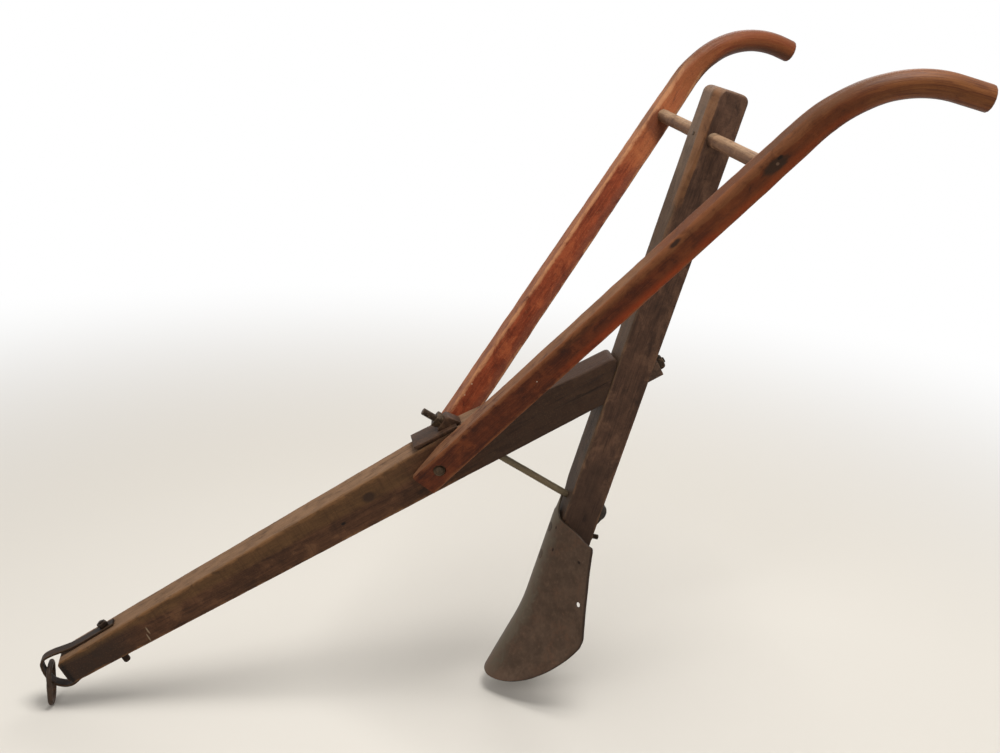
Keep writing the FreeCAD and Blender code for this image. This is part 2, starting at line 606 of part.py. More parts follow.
lowest = 1e9
for name in sorted(parts):
    shape = parts[name].copy()
    if shape.ShapeType == "Compound" and len(shape.Solids) == 1:
        shape = shape.Solids[0]
    shape.Placement = place.multiply(shape.Placement)
    box = shape.BoundBox
    lowest = min(lowest, box.ZMin)
    limits = [round(c, 1) for c in (box.XMin, box.XMax, box.YMin, box.YMax, box.ZMin, box.ZMax)]
    print(name, shape.ShapeType, len(shape.Solids), shape.isValid(),
          round(shape.Volume / 1000, 2), limits)
    shape.exportStep("parts/" + name + ".step")
print("origin in the level plough", hold[0], hold[1], "floor", lowest)
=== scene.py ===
import math

import bmesh
import bpy
from mathutils import Matrix, Vector, kdtree, noise


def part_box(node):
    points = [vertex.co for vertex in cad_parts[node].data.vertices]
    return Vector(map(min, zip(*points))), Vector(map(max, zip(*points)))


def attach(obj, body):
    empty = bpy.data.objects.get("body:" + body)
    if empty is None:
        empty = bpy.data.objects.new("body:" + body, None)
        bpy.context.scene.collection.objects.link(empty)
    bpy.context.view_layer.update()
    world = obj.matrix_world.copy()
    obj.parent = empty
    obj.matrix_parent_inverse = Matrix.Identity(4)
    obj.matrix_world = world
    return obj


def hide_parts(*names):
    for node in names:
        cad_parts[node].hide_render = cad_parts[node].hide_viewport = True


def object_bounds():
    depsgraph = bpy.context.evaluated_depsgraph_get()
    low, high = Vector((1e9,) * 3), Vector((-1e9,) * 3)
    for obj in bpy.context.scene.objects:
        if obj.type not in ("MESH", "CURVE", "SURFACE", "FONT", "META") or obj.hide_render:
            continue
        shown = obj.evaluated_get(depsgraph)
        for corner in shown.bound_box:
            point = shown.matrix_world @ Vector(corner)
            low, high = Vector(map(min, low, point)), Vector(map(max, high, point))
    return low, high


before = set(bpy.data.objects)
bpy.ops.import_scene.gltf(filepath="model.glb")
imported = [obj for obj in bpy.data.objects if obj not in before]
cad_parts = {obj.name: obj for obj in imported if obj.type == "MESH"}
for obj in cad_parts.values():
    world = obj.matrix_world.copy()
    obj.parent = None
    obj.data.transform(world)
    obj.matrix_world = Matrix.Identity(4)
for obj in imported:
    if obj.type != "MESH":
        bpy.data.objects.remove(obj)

cad_box = [list(corner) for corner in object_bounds()]

# ---------------------------------------------------------------- beam
# The long ash beam is hewn square, deepest where the brace rod goes through, with worn arrises.
# Its rear end is tenoned into the standard and its nose is rounded under the draft strap.
PITCH = math.radians(29.3)
RUNG_S, RUNG_Z = 1.4297, 0.3205
NOSE_S, NOSE_Z = 0.064, 0.046
DEEP_S, DEEP_Z = 0.838, 0.0845
SHOULDER_S, SHOULDER_FALL, REAR_TOP_S = 1.1307, 0.018, 1.1486
BEAM_HALF, BEAM_ROUND = 0.028, (0.0032, 0.0032, 0.0017, 0.0017)
LEAN = math.radians(43.95)
FRONT_FOOT = 1.0845
UP = (math.sin(LEAN), math.cos(LEAN))
BACK = (math.cos(LEAN), -math.sin(LEAN))
CORNERS = ((1, 1), (-1, 1), (-1, -1), (1, -1))
FLAT_STEPS = 7
ARRIS_REACH = 0.0045
FINE = 0.0002
rung_low, rung_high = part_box("handle_round")
rung_x = (rung_low[0] + rung_high[0]) / 2
rung_z = (rung_low[2] + rung_high[2]) / 2


def tip(dx, dy, dz):
    """A direction on the level plough (dx forward) as it points when tipped nose down."""
    return Vector((dx * math.cos(PITCH) + dz * math.sin(PITCH), dy,
                   -dx * math.sin(PITCH) + dz * math.cos(PITCH)))


def at(s, y, z):
    """A place on the level plough, s back from the nose and z over the beam's underside."""
    return Vector((rung_x, 0, rung_z)) + tip(-(s - RUNG_S), y, z - RUNG_Z)


def share(x):
    """x kept between 0 and 1."""
    return min(1.0, max(0.0, x))


def fall(x):
    """How far a quarter round has dropped when it is x of the way to its end."""
    return 1 - math.sqrt(1 - x ** 2)


def rough(x, seed, size=0.05):
    """Slow unevenness of a hand-dressed edge, -1 to 1."""
    return noise.noise(Vector((x / size, seed * 7.31, seed * 2.17)))


def hewn(radii, x, seed, fine_seed, fine_size):
    """The roundings of four arrises, made uneven along the bar."""
    return [r + 0.35 * r * rough(x, k + seed) + 0.25 * r * rough(x, k + fine_seed, fine_size)
            for k, r in enumerate(radii)]


def ring(half_w, half_h, radii, corner_steps=4):
    """Points (across, up, nearness to an arris) round a squared bar with rounded corners."""
    def on_corner(k, a):
        (side, top), r = CORNERS[k % 4], radii[k % 4]
        return side * (half_w - r) + r * math.cos(a), top * (half_h - r) + r * math.sin(a)

    out = []
    for k in range(4):
        start = k * math.pi / 2
        for i in range(corner_steps + 1):
            out.append((*on_corner(k, start + math.pi / 2 * i / corner_steps), 1.0))
        p, q = (on_corner(c, start + math.pi / 2) for c in (k, k + 1))
        length = math.hypot(q[0] - p[0], q[1] - p[1])
        for i in range(1, FLAT_STEPS):
            f = i / FLAT_STEPS
            near = min(f, 1 - f) * length
            out.append((p[0] + (q[0] - p[0]) * f, p[1] + (q[1] - p[1]) * f,
                        math.exp(-near / ARRIS_REACH)))
    return out


def shell(name, places, faces, bevel=0.0):
    """A mesh with all its faces turned outward and its edges rubbed round by bevel."""
    mesh = bpy.data.meshes.new(name)
    mesh.from_pydata(places, [], faces)
    solid = bmesh.new()
    solid.from_mesh(mesh)
    bmesh.ops.recalc_face_normals(solid, faces=solid.faces)
    if bevel:
        bmesh.ops.bevel(solid, geom=solid.edges[:], offset=bevel, segments=3, profile=0.5,
                        affect="EDGES")
    solid.to_mesh(mesh)
    solid.free()
    return mesh


def stand(name, mesh, near):
    """Makes a mesh a piece of the plough; near is how near each point is to an arris."""
    edge = mesh.attributes.new("arris", "FLOAT", "POINT")
    edge.data.foreach_set("value", near)
    made = bpy.data.objects.new(name, mesh)
    bpy.context.scene.collection.objects.link(made)
    return made


def skin(name, rows, smooth=35, ends="capped"):
    """Joins rows of (place, fibre, nearness to an arris), capped or with the last to the first."""
    n, count = len(rows[0]), len(rows)
    points = [p for row in rows for p in row]
    faces = []
    for j in range(count if ends == "joined" else count - 1):
        for i in range(n):
            a, b = j * n + i, j * n + (i + 1) % n
            c, d = (j + 1) % count * n + (i + 1) % n, (j + 1) % count * n + i
            faces.append((a, b, c, d))
    if ends == "capped":
        for row in (rows[0], rows[-1]):
            points.append((*(sum((p[k] for p in row), Vector()) / n for k in (0, 1)), 0.2))
        for i in range(n):
            faces.append((count * n, (i + 1) % n, i))
            faces.append((count * n + 1, (count - 1) * n + i, (count - 1) * n + (i + 1) % n))
    mesh = shell(name, [p[0] for p in points], faces)
    grain = mesh.attributes.new("fibre", "FLOAT_VECTOR", "POINT")
    grain.data.foreach_set("vector", [c for p in points for c in p[1]])
    made = stand(name, mesh, [p[2] for p in points])
    mesh.shade_smooth()
    mesh.set_sharp_from_angle(angle=math.radians(smooth))
    mesh.validate()
    return made


def beam_top(s):
    """Height of the beam's upper side above its underside."""
    if s < DEEP_S:
        return NOSE_Z + (DEEP_Z - NOSE_Z) * (s - NOSE_S) / (DEEP_S - NOSE_S)
    back = share((s - DEEP_S) / (SHOULDER_S - DEEP_S))
    return DEEP_Z - SHOULDER_FALL * (3 * back ** 2 - 2 * back ** 3)


def beam_mesh():
    rows, count = [], 200
    for j in range(count + 1):
        f = 1 - (1 - j / count) ** 1.15
        s_low = NOSE_S + (FRONT_FOOT - NOSE_S) * f
        s_high = NOSE_S + (REAR_TOP_S - NOSE_S) * f
        nose = share(1 - (s_low - NOSE_S) / 0.007)
        tail = share(1 - (REAR_TOP_S - s_high) / 0.018)
        low = 0.007 * fall(nose)
        high = beam_top(s_high) - 0.006 * fall(nose) - 0.0155 * fall(tail)
        half_h = (high - low) / 2
        wide = BEAM_HALF - FINE - 0.0003 * abs(rough(s_low, 20, 0.2)) - 0.004 * nose ** 3
        row = []
        for a, b, near in ring(wide, half_h, hewn(BEAM_ROUND, s_low, 1, 9, 0.012)):
            z = low + half_h + b
            gap = (0.0006 + 0.055 * max(0.0, z - 0.02)) * f ** 12
            s = s_low + UP[0] / UP[1] * f ** 3 * z - gap
            dip = 0.0006 * abs(noise.noise(Vector((s * 9, a * 30, b * 30))))
            place = at(s, a * (1 - dip / wide), low + half_h + b * (1 - dip / half_h))
            row.append((place, Vector((s, a, z)), near))
        rows.append(row)
    return skin("Beam", rows)


def srgb(r, g, b):
    """A paint colour given as it looks, in steps of 255, as the shader wants it."""
    return tuple(((c / 255 + 0.055) / 1.055) ** 2.4 if c > 10 else c / 3295 for c in (r, g, b)) + (1,)


class Flow:
    """A number that changes over a surface. Sums on it become Math nodes."""

    def __init__(self, finish, socket):
        self.finish, self.socket = finish, socket

    def sum(self, operation, *parts):
        return self.finish.add("ShaderNodeMath", {"operation": operation}, dict(enumerate(parts)))

    def __add__(self, other):
        return self.sum("ADD", self, other)

    __radd__ = __add__

    def __sub__(self, other):
        return self.sum("SUBTRACT", self, other)

    def __rsub__(self, other):
        return self.sum("SUBTRACT", other, self)

    def __mul__(self, other):
        return self.sum("MULTIPLY", self, other)

    __rmul__ = __mul__

    def size(self):
        return self.sum("ABSOLUTE", self)

    def larger(self, other):
        return self.sum("MAXIMUM", self, other)

    def step(self, low, high):
        """0 below low and 1 above high, smooth between; low may be the larger."""
        return self.finish.add(
            "ShaderNodeMapRange", {"interpolation_type": "SMOOTHSTEP"},
            {"Value": self, "From Min": low, "From Max": high, "To Min": 0, "To Max": 1})


class Finish:
    """One material, built node by node on a Principled shader."""

    def __init__(self, name, **constants):
        self.material = bpy.data.materials.new(name)
        self.material.use_nodes = True
        self.tree = self.material.node_tree
        self.shader = self.tree.nodes["Principled BSDF"]
        for socket, value in constants.items():
            self.shader.inputs[socket].default_value = value

    def add(self, kind, settings=None, sockets=None, out=0):
        node = self.tree.nodes.new(kind)
        for key, value in (settings or {}).items():
            setattr(node, key, value)
        for key, value in (sockets or {}).items():
            if isinstance(value, Flow):
                self.tree.links.new(value.socket, node.inputs[key])
            else:
                node.inputs[key].default_value = value
        return Flow(self, node.outputs[out])

    def vector(self, operation, first, second=(0, 0, 0), out=0):
        return self.add("ShaderNodeVectorMath", {"operation": operation}, {0: first, 1: second}, out)

    def attribute(self, name, out):
        return self.add("ShaderNodeAttribute", {"attribute_name": name}, out=out)

    def place(self):
        return self.add("ShaderNodeTexCoord", out="Object")

    def facing_up(self):
        normal = self.add("ShaderNodeNewGeometry", out="Normal")
        return self.add("ShaderNodeSeparateXYZ", {}, {0: normal}, out="Z")

    def grainy(self, vector, scale, detail, rough, bend=0.0):
        return self.add("ShaderNodeTexNoise", {}, {
            "Vector": vector, "Scale": scale, "Detail": detail, "Roughness": rough,
            "Distortion": bend})

    def fibrous(self, vector, along, across, detail, rough, bend=0.0):
        """Noise drawn out along the fibre."""
        return self.grainy(self.vector("MULTIPLY", vector, (along, across, across)), 1, detail,
                           rough, bend)

    def blend(self, mask, under, over):
        """The over colour on the under one where the mask is 1."""
        under, over = (c if isinstance(c, Flow) else srgb(*c) for c in (under, over))
        return self.add("ShaderNodeMix", {"data_type": "RGBA"}, {0: mask, 6: under, 7: over}, out=2)

    def zone(self, fibre, spans, ragged):
        """1 where the fibre's places lie inside all the spans, each (axis, start, full).

        Axes 3 to 5 are axes 0 to 2 with both sides of the middle taken alike.
        """
        inside = 1.0
        for axis, start, full in spans:
            where = self.add("ShaderNodeSeparateXYZ", {}, {0: fibre}, out=axis % 3)
            if axis > 2:
                where = where.size()
            over = (where + (ragged - 0.5) * abs(full - start) * 2.6).step(start, full)
            inside = over * inside
        return inside

    def spot(self, fibre, middle, long, wide, ragged):
        """1 in a small ragged spot on the surface, long the way the fibre runs."""
        away = self.vector("SUBTRACT", fibre, middle)
        away = self.vector("MULTIPLY", away, (1 / long, 1 / wide, 1 / wide))
        away = self.vector("LENGTH", away, out="Value")
        return (away + ragged * 0.9 - 0.45).step(1.15, 0.55)

    def coat(self, colour, roughness, height, relief, depth):
        bump = self.add("ShaderNodeBump", {}, {
            "Strength": relief, "Distance": depth, "Height": height})
        for flow, socket in ((colour, "Base Color"), (roughness, "Roughness"), (bump, "Normal")):
            self.tree.links.new(flow.socket, self.shader.inputs[socket])
        return self.material


def old_wood(name, dark, mid, pale, worn, dust, dusty=0.6, wear=0.5, seed=0.0, crack=0.5,
             mottle=0.3, saw=0.0, clean=2.0, sharp=2.0, polished=2.0, zones=(), spots=()):
    """Weathered wood: streaked and mottled, checked, worn at the arrises, dusty on top.

    zones are (colour, strength, spans), spots are (colour, place, half length, half width). Along
    the fibre no dust lies past clean, the arrises aren't rubbed past sharp, and hands have made
    it smooth past polished.
    """
    wood = Finish(name, **{"Specular IOR Level": 0.15})
    fibre = wood.attribute("fibre", "Vector")
    shifted = wood.vector("ADD", fibre, (seed, seed * 0.37, seed * 0.71))
    arris = wood.attribute("arris", "Fac")
    streak = wood.fibrous(shifted, 5, 120, 6, 0.66, 0.35)
    thread = wood.fibrous(shifted, 16, 420, 4, 0.62)
    pores = wood.fibrous(shifted, 45, 1100, 3, 0.6)
    patch = wood.fibrous(shifted, 6, 15, 4, 0.6, 0.6)
    blotch = wood.fibrous(shifted, 30, 52, 7, 0.68, 0.5)
    speck = wood.grainy(shifted, 520, 4, 0.7)
    kerf = wood.fibrous(shifted, 260, 7, 4, 0.6, 0.6)
    line = wood.fibrous(shifted, 2.2, 70, 2, 0.5, 0.15)
    split = (line - 0.5).size().step(0.010, 0.0) * patch.step(0.50, 0.62)
    bands = streak * (0.70 - mottle) + thread * 0.30 + blotch * mottle
    colour = wood.blend(bands.step(0.38, 0.62), dark, mid)
    colour = wood.blend((patch * 0.4 + blotch * 0.6).step(0.50, 0.66) * 0.8, colour, pale)
    for tint, strength, spans in zones:
        inside = wood.zone(fibre, spans, blotch * 0.5 + patch * 0.5)
        colour = wood.blend(inside * (streak * 0.5 + blotch * 1.1 - 0.1) * strength, colour, tint)
    colour = wood.blend(kerf.step(0.50, 0.66) * saw, colour, dark)
    bare = wood.zone(fibre, ((0, clean + 0.07, clean),), blotch)
    settled = wood.facing_up().step(0.30, 0.85) * bare * dusty * (
        blotch * 0.6 + thread * 0.5).step(0.34, 0.64)
    colour = wood.blend(settled, colour, dust)
    rubbed = (arris * 0.42 + blotch * 0.9 + streak * 0.35 - 1.1 + wear * 0.5).step(0.0, 0.26)
    rubbed = rubbed * wood.zone(fibre, ((0, sharp + 0.08, sharp),), blotch)
    colour = wood.blend(rubbed * arris.step(0.35, 0.95) * 0.8, colour, worn)
    colour = wood.blend(pores.step(0.58, 0.70) * 0.4 + speck.step(0.56, 0.70) * 0.35, colour, dark)
    colour = wood.blend(speck.step(0.44, 0.32) * 0.3, colour, worn)
    colour = wood.blend(blotch.step(0.40, 0.28) * 0.4 + thread.step(0.36, 0.28) * 0.2, colour,
                        (30, 21, 15))
    hands = wood.zone(fibre, ((0, polished, polished + 0.06),), blotch)
    sweat = thread.step(0.50, 0.62) * 0.45 + streak.step(0.50, 0.60) * 0.35
    colour = wood.blend(hands * sweat, colour, dark)
    dents = split * crack
    for tint, middle, long, wide in spots:
        spot = wood.spot(fibre, middle, long, wide, blotch)
        colour = wood.blend(spot * 0.9, colour, tint)
        dents = dents.larger(spot * 0.6)
    colour = wood.blend(split * crack, colour, (24, 17, 13))
    gloss = 0.46 - hands * 0.16 + streak * 0.16 + settled * 0.30 + speck * 0.12 + dents * 0.2
    height = streak * 0.35 + thread * 0.35 + pores * 0.3 + blotch * 0.5 + kerf * saw * 0.7
    return wood.coat(colour, gloss, height + speck * 0.25 - dents * 1.6, 0.65, 0.0011)


def set_in(piece, node, finish, body="plough"):
    """Gives a finished piece its material and its place on the plough."""
    piece.data.materials.clear()
    piece.data.materials.append(finish)
    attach(piece, body)
    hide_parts(node)


set_in(beam_mesh(), "beam", old_wood(
    "beam wood", (50, 30, 18), (86, 56, 37), (100, 69, 46), (112, 78, 48), (134, 104, 79),
    dusty=0.78, wear=0.42, seed=1.7, crack=0.6, mottle=0.4, saw=0.3, clean=0.97, sharp=0.78,
    zones=(((44, 34, 27), 0.9, ((0, 0.74, 0.92),)),
           ((46, 33, 25), 1.3, ((0, 0.23, 0.13),)),
           # The near-black band at the nose is painted shade inside the strap's bend.
           ((20, 14, 11), 2.2, ((0, 0.080, 0.068),)),
           ((92, 66, 38), 0.8, ((2, 0.034, 0.046), (0, 0.80, 0.66)))),
    spots=(((20, 14, 10), (0.602, BEAM_HALF, 0.0288), 0.0045, 0.0026),
           ((48, 33, 24), (0.6617, BEAM_HALF, 0.0499), 0.013, 0.010),
           ((132, 112, 90), (0.2255, BEAM_HALF, 0.0225), 0.0014, 0.0085),
           ((132, 112, 90), (0.2200, BEAM_HALF, 0.0105), 0.0014, 0.0085))))

# ---------------------------------------------------------------- standard
# The tall leaning post is sawn from the same wood. Its top is rounded over by hands and weather,
# its left front arris is chamfered above the rung, and its foot is bevelled behind the shovel.
STD_HALF_W, STD_HALF_D, STD_ROUND = 0.0285, 0.031, (0.0026, 0.0026, 0.0016, 0.0016)
STD_LOW, STD_HIGH = -0.296, 0.397
CHAMFER, CHAMFER_UP, CHAMFER_RUNOUT = 0.0135, 0.345, 0.19
SHAVED, SHAVED_LEFT_UP, SHAVED_RIGHT_UP = 0.0094, -0.2175, -0.150
FOOT_BEVEL = 0.030
TOP_ROUND = 0.016


def standard_mesh():
    rows, bottom, length = [], STD_LOW / UP[1], (STD_HIGH - STD_LOW) / UP[1]
    steps = [0.0, 0.002] + [0.002 + (length - TOP_ROUND - 0.002) * i / 150 for i in range(1, 151)]
    steps += [length - TOP_ROUND + TOP_ROUND * math.sin(math.pi / 2 * i / 7) for i in range(1, 8)]
    for t in steps:
        up = bottom + t
        stop = share((up - CHAMFER_UP) / CHAMFER_RUNOUT)
        end = share(1 - (length - t) / 0.013)
        narrow = 0.0055 * fall(share(1 - (length - t) / 0.006))
        foot = max(0.0, FOOT_BEVEL - t) * 0.6
        radii = hewn(STD_ROUND, up, 31, 37, 0.011)
        radii[0] = max(radii[0], SHAVED * (up < SHAVED_LEFT_UP), CHAMFER * stop)
        radii[1] = max(radii[1], SHAVED * share((SHAVED_RIGHT_UP - up) / 0.03))
        radii[2] += 0.0015 * stop
        radii[3] += 0.0030 * stop
        half_w = STD_HALF_W - FINE - narrow - 0.0003 * abs(rough(up, 41, 0.15))
        half_d = STD_HALF_D - FINE - 0.0125 * fall(end) - foot / 2
        section = ring(half_w, half_d, radii)
        for k in range(1, 4):
            flat = [p + (q - p) * k / 4 for p, q in zip(section[0][:2], section[4][:2])]
            bevel = [r + (c - r) * share(stop * 4) for r, c in zip(section[k][:2], flat)]
            section[k] = (*bevel, 1.0)
        row = []
        for a, b, near in section:
            back = STD_HALF_D - b - foot / 2
            dip = 0.0006 * abs(noise.noise(Vector((up * 8, a * 30 + 5, b * 30))))
            a *= 1 - dip / half_w
            place = at(FRONT_FOOT + up * UP[0] + back * BACK[0], a, up * UP[1] + back * BACK[1])
            row.append((place, Vector((up, a, b)), max(near, end)))
        rows.append(row)
    return skin("Standard", rows)


set_in(standard_mesh(), "standard", old_wood(
    "standard wood", (53, 36, 27), (89, 63, 48), (104, 76, 58), (112, 82, 60), (134, 106, 82),
    dusty=0.5, wear=0.24, seed=4.3, crack=0.5, mottle=0.45, saw=0.2,
    zones=(((88, 71, 53), 0.8, ((2, 0.026, 0.030),)),
           ((44, 32, 25), 0.7, ((0, -0.05, -0.17),)),
           ((140, 116, 94), 0.8, ((2, 0.026, 0.030), (0, 0.36, 0.54))),
           ((104, 76, 60), 0.7, ((0, 0.42, 0.55),)),
           ((128, 86, 54), 0.9, ((1, 0.0150, 0.0175), (2, 0.0175, 0.0200), (0, 0.34, 0.37))))))

# ---------------------------------------------------------------- handles
# Each handle is one stick steamed to a bend, square below and shaved round at the grip. The pair
# splays out from the beam, and each inner side is bevelled to lie flat against it.
RISE = math.radians(23.45)
FRONT_S, FRONT_Z = 0.757, 0.0288
BEND_S, BEND_UP, BEND_DOWN = 1.494, 0.205, 0.168
GRIP_END = {1: (math.radians(43), 0.0487), -1: (math.radians(50), 0.0217)}
GRIP_EDGE = 0.003
SPLAY_S, SPLAY_Z = 0.311, 0.153
MIDDLE_Y, MIDDLE_S, MIDDLE_Z = 0.0465, 0.820, 0.060
HANDLE_T, HANDLE_H0, HANDLE_H1, GRIP_D = 0.037, 0.047, 0.041, 0.040
HANDLE_ROUND = (0.0040, 0.0034, 0.0024, 0.0026)


def handle_line(side):
    """(s, z, slope, how far round the grip is) every few millimetres down one handle."""
    out = []
    drop, grip_long = GRIP_END[side]
    straight = (BEND_S - FRONT_S) / math.cos(RISE)
    for i in range(111):
        t = straight * i / 110
        out.append((FRONT_S + t * math.cos(RISE), FRONT_Z + t * math.sin(RISE), RISE,
                    share((t - straight + 0.09) / 0.09) * 0.12))
    crest_s = BEND_S + BEND_UP * math.sin(RISE)
    crest_z = out[-1][1] + BEND_UP * (1 - math.cos(RISE))
    for i in range(1, 56):
        a = RISE - (RISE + drop) * i / 55
        r = BEND_UP if a > 0 else BEND_DOWN
        out.append((crest_s - r * math.sin(a), crest_z - r * (1 - math.cos(a)), a,
                    0.12 + 0.88 * share(i / 28)))
    s, z = out[-1][:2]
    steps = [k / 6 * (grip_long - GRIP_EDGE) for k in range(1, 7)]
    steps += [grip_long - GRIP_EDGE * (1 - math.sin(math.pi / 8 * k)) for k in (1, 2, 3, 4)]
    return out + [(s + t * math.cos(drop), z - t * math.sin(drop), -drop, 1.0) for t in steps]


def handle_mesh(name, side, seed):
    rows, line, along = [], handle_line(side), [0.0]
    for here, ahead in zip(line, line[1:]):
        along.append(along[-1] + (Vector(ahead[:2]) - Vector(here[:2])).length)
    out = Vector((SPLAY_S, side, -SPLAY_Z)).normalized()
    for k, i in enumerate([0] + list(range(len(line)))):
        s, z, slope, rounded = line[i]
        y = MIDDLE_Y + SPLAY_S * (s - MIDDLE_S) + SPLAY_Z * (z - MIDDLE_Z)
        spread = SPLAY_S * math.cos(slope) + SPLAY_Z * math.sin(slope)
        go = Vector((-math.cos(slope), side * spread, math.sin(slope))).normalized()
        up = go.cross(out).normalized() * -side
        high = HANDLE_H0 + (HANDLE_H1 - HANDLE_H0) * share(along[i] / 0.8)
        high += (GRIP_D - high) * rounded
        wide = HANDLE_T + (GRIP_D - HANDLE_T) * rounded
        small = FINE + 0.0008 * abs(rough(along[i], seed, 0.055)) * (1 - rounded)
        limit = min(wide, high) / 2 - small - 0.0001
        radii = []
        for c, square in enumerate(HANDLE_ROUND):
            square *= 1 + 0.35 * rough(along[i], seed + c) + 0.3 * rough(along[i], seed + c, 0.013)
            square += 0.005 * (c == 0) * share((along[i] - 0.40) / 0.2)
            square += (GRIP_D / 2 - 0.0006 - square) * rounded ** 0.8
            radii.append(min(square, limit))
        tight = 0.93 if k == 0 else 1.0
        last_few = len(line) - 1 - i
        if last_few < 4 and k > 0:
            tight = 1 - GRIP_EDGE / GRIP_D * 2 * (1 - math.cos(math.pi / 8 * (4 - last_few)))
        row = []
        for a, b, near in ring(wide / 2 - small, high / 2 - small, radii):
            p = Vector((-s, side * y, z)) + out * a * tight + up * b * tight
            row.append((at(-p.x, side * max(p.y * side, BEAM_HALF + FINE), p.z),
                        Vector((along[i], a * side, b)), near * (1 - rounded) + 0.25 * rounded))
        rows.append(row[::side])
    return skin(name, rows)


HANDLE_OUT = HANDLE_T / 2
LOOKS = {
    "Left": dict(
        colours=((60, 25, 11), (96, 44, 20), (110, 54, 25), (120, 72, 42)), clean=0.50,
        zones=(((156, 62, 20), 0.95, ((2, -0.003, -0.017), (0, 0.24, 0.42))),
               ((116, 62, 30), 0.6, ((0, 0.50, 0.72),)),
               ((98, 60, 32), 0.7, ((2, 0.006, 0.016), (0, 0.22, 0.40))),
               ((128, 80, 42), 0.8, ((0, 0.80, 0.95),)),
               # Along the bend and grip the darker top rim and underside are partly dirt and partly
               # painted shade.
               ((78, 52, 33), 0.9, ((2, 0.010, 0.018), (0, 0.60, 0.76), (0, 0.96, 0.90))),
               ((46, 28, 16), 1.0, ((2, -0.010, -0.018), (0, 0.74, 0.84)))),
        spots=(((34, 24, 18), (0.572, 0.0175, 0.0185), 0.013, 0.005),
               ((50, 36, 26), (0.7445, HANDLE_OUT, 0.0020), 0.020, 0.0105),
               ((104, 80, 64), (0.7485, HANDLE_OUT, 0.0022), 0.0026, 0.0026),
               ((26, 18, 13), (0.7570, HANDLE_OUT, 0.0070), 0.005, 0.003),
               ((190, 170, 150), (0.2707, HANDLE_OUT, 0.0027), 0.0014, 0.0014))),
    "Right": dict(
        colours=((90, 35, 16), (136, 62, 34), (148, 76, 42), (168, 116, 78)), clean=0.78,
        zones=(((104, 62, 46), 0.8, ((2, -0.002, -0.016),)),
               ((156, 92, 54), 0.8, ((0, 0.56, 0.70),)),
               # The dark band just below where the round enters this handle is painted shade under the
               # round.
               ((74, 38, 24), 1.0, ((0, 0.680, 0.700), (0, 0.745, 0.725))),
               ((104, 56, 26), 1.2, ((0, 0.75, 0.85),)),
               # At the grip the darker top rim and underside are partly dirt and partly painted shade.
               ((84, 52, 30), 0.9, ((2, 0.010, 0.018), (0, 0.76, 0.84))),
               ((46, 28, 16), 1.0, ((2, -0.010, -0.018), (0, 0.76, 0.84)))),
        spots=(((190, 160, 130), (0.1594, HANDLE_OUT, 0.0171), 0.0014, 0.0014),
               ((190, 160, 130), (0.1380, HANDLE_OUT, 0.0165), 0.0014, 0.0014))),
}
for word, side, seed in (("Left", 1, 11.0), ("Right", -1, 23.0)):
    looks = LOOKS[word]
    set_in(handle_mesh(word + "Handle", side, seed), word.lower() + "_handle", old_wood(
        word.lower() + " handle wood", *looks["colours"], (150, 114, 84), dusty=0.85, wear=0.46,
        seed=seed, crack=0.3, mottle=0.5, clean=looks["clean"], polished=0.84,
        zones=looks["zones"], spots=looks["spots"]))

# ---------------------------------------------------------------- round
# A plain turned rung passes through the standard. Its ends sit in blind holes in the handles.
RUNG_R, RUNG_HALF = 0.012, rung_high[1] - 0.012


def rung_mesh():
    rows = []
    for j in range(121):
        y = -RUNG_HALF + 2 * RUNG_HALF * j / 120
        r = RUNG_R - 0.0003 - 0.0003 * rough(y, 51, 0.07) - (0.001 if j in (0, 120) else 0)
        row = []
        for i in reversed(range(28)):
            ahead, up = (r * turn(2 * math.pi * i / 28) for turn in (math.cos, math.sin))
            row.append((Vector((rung_x + ahead, y, rung_z + up)), Vector((y, ahead, up)), 0.15))
        rows.append(row)
    return skin("Round", rows)


set_in(rung_mesh(), "handle_round", old_wood(
    "round wood", (84, 56, 38), (124, 90, 64), (150, 112, 82), (160, 126, 96), (170, 142, 112),
    dusty=0.5, wear=0.3, seed=7.7, crack=0.5,
    zones=(((50, 34, 24), 1.2, ((3, 0.056, 0.034),)),)))

# ---------------------------------------------------------------- shovel blade
# One steel plate bent to a V whose crest curves forward to a worn, rounded point. Soil has scoured
# its lower edge thin. Two sunk bolts go through the crest and each wing has a spare bolt hole.
BLADE_S, BLADE_Z = 0.9529, -0.1223
BLADE_LONG, BLADE_T, CREST_R = 0.3685, 0.0040, 0.057
SWEEP = math.radians(38.7)
STRAIGHT, BEND, TURN = 0.195, 0.320, math.radians(11.4)
BOLT_HOLES, BOLT_HOLE_R = (0.069, 0.123), 0.0092
WING_HOLE, WING_HOLE_R = (0.1605, 0.095), 0.0045
OUTLINE = ((0, 0.8), (9, 3), (20, 4.6), (30, 7.5), (37, 12.5), (41.5, 20), (43.9, 29), (46.2, 44),
           (50, 59.5), (54.5, 71), (57, 80), (59.5, 86), (78, 89.7), (104, 94.7), (132, 101),
           (163, 107.7), (193, 115), (204, 118.6), (212, 120.9), (221, 121.3), (231, 120.5),
           (255.5, 113.5), (276, 105.9), (295, 97.7), (312, 88.3), (328, 78), (341.4, 66.4),
           (353, 53.6), (361.5, 39.5), (366.5, 22.5), (367.9, 12), (368.3, 2))


def through(points, steps):
    """A smooth line through points, steps to each span."""
    pts = [Vector(p) for p in points]
    pts = [pts[0] * 2 - pts[1]] + pts + [pts[-1] * 2 - pts[-2]]
    out = []
    for a, b, c, d in zip(pts, pts[1:], pts[2:], pts[3:]):
        for k in range(steps):
            f = k / steps
            out.append((b * 2 + (c - a) * f + (a * 2 - b * 5 + c * 4 - d) * f ** 2
                        + (b * 3 - a - c * 3 + d) * f ** 3) / 2)
    return out + [pts[-2]]


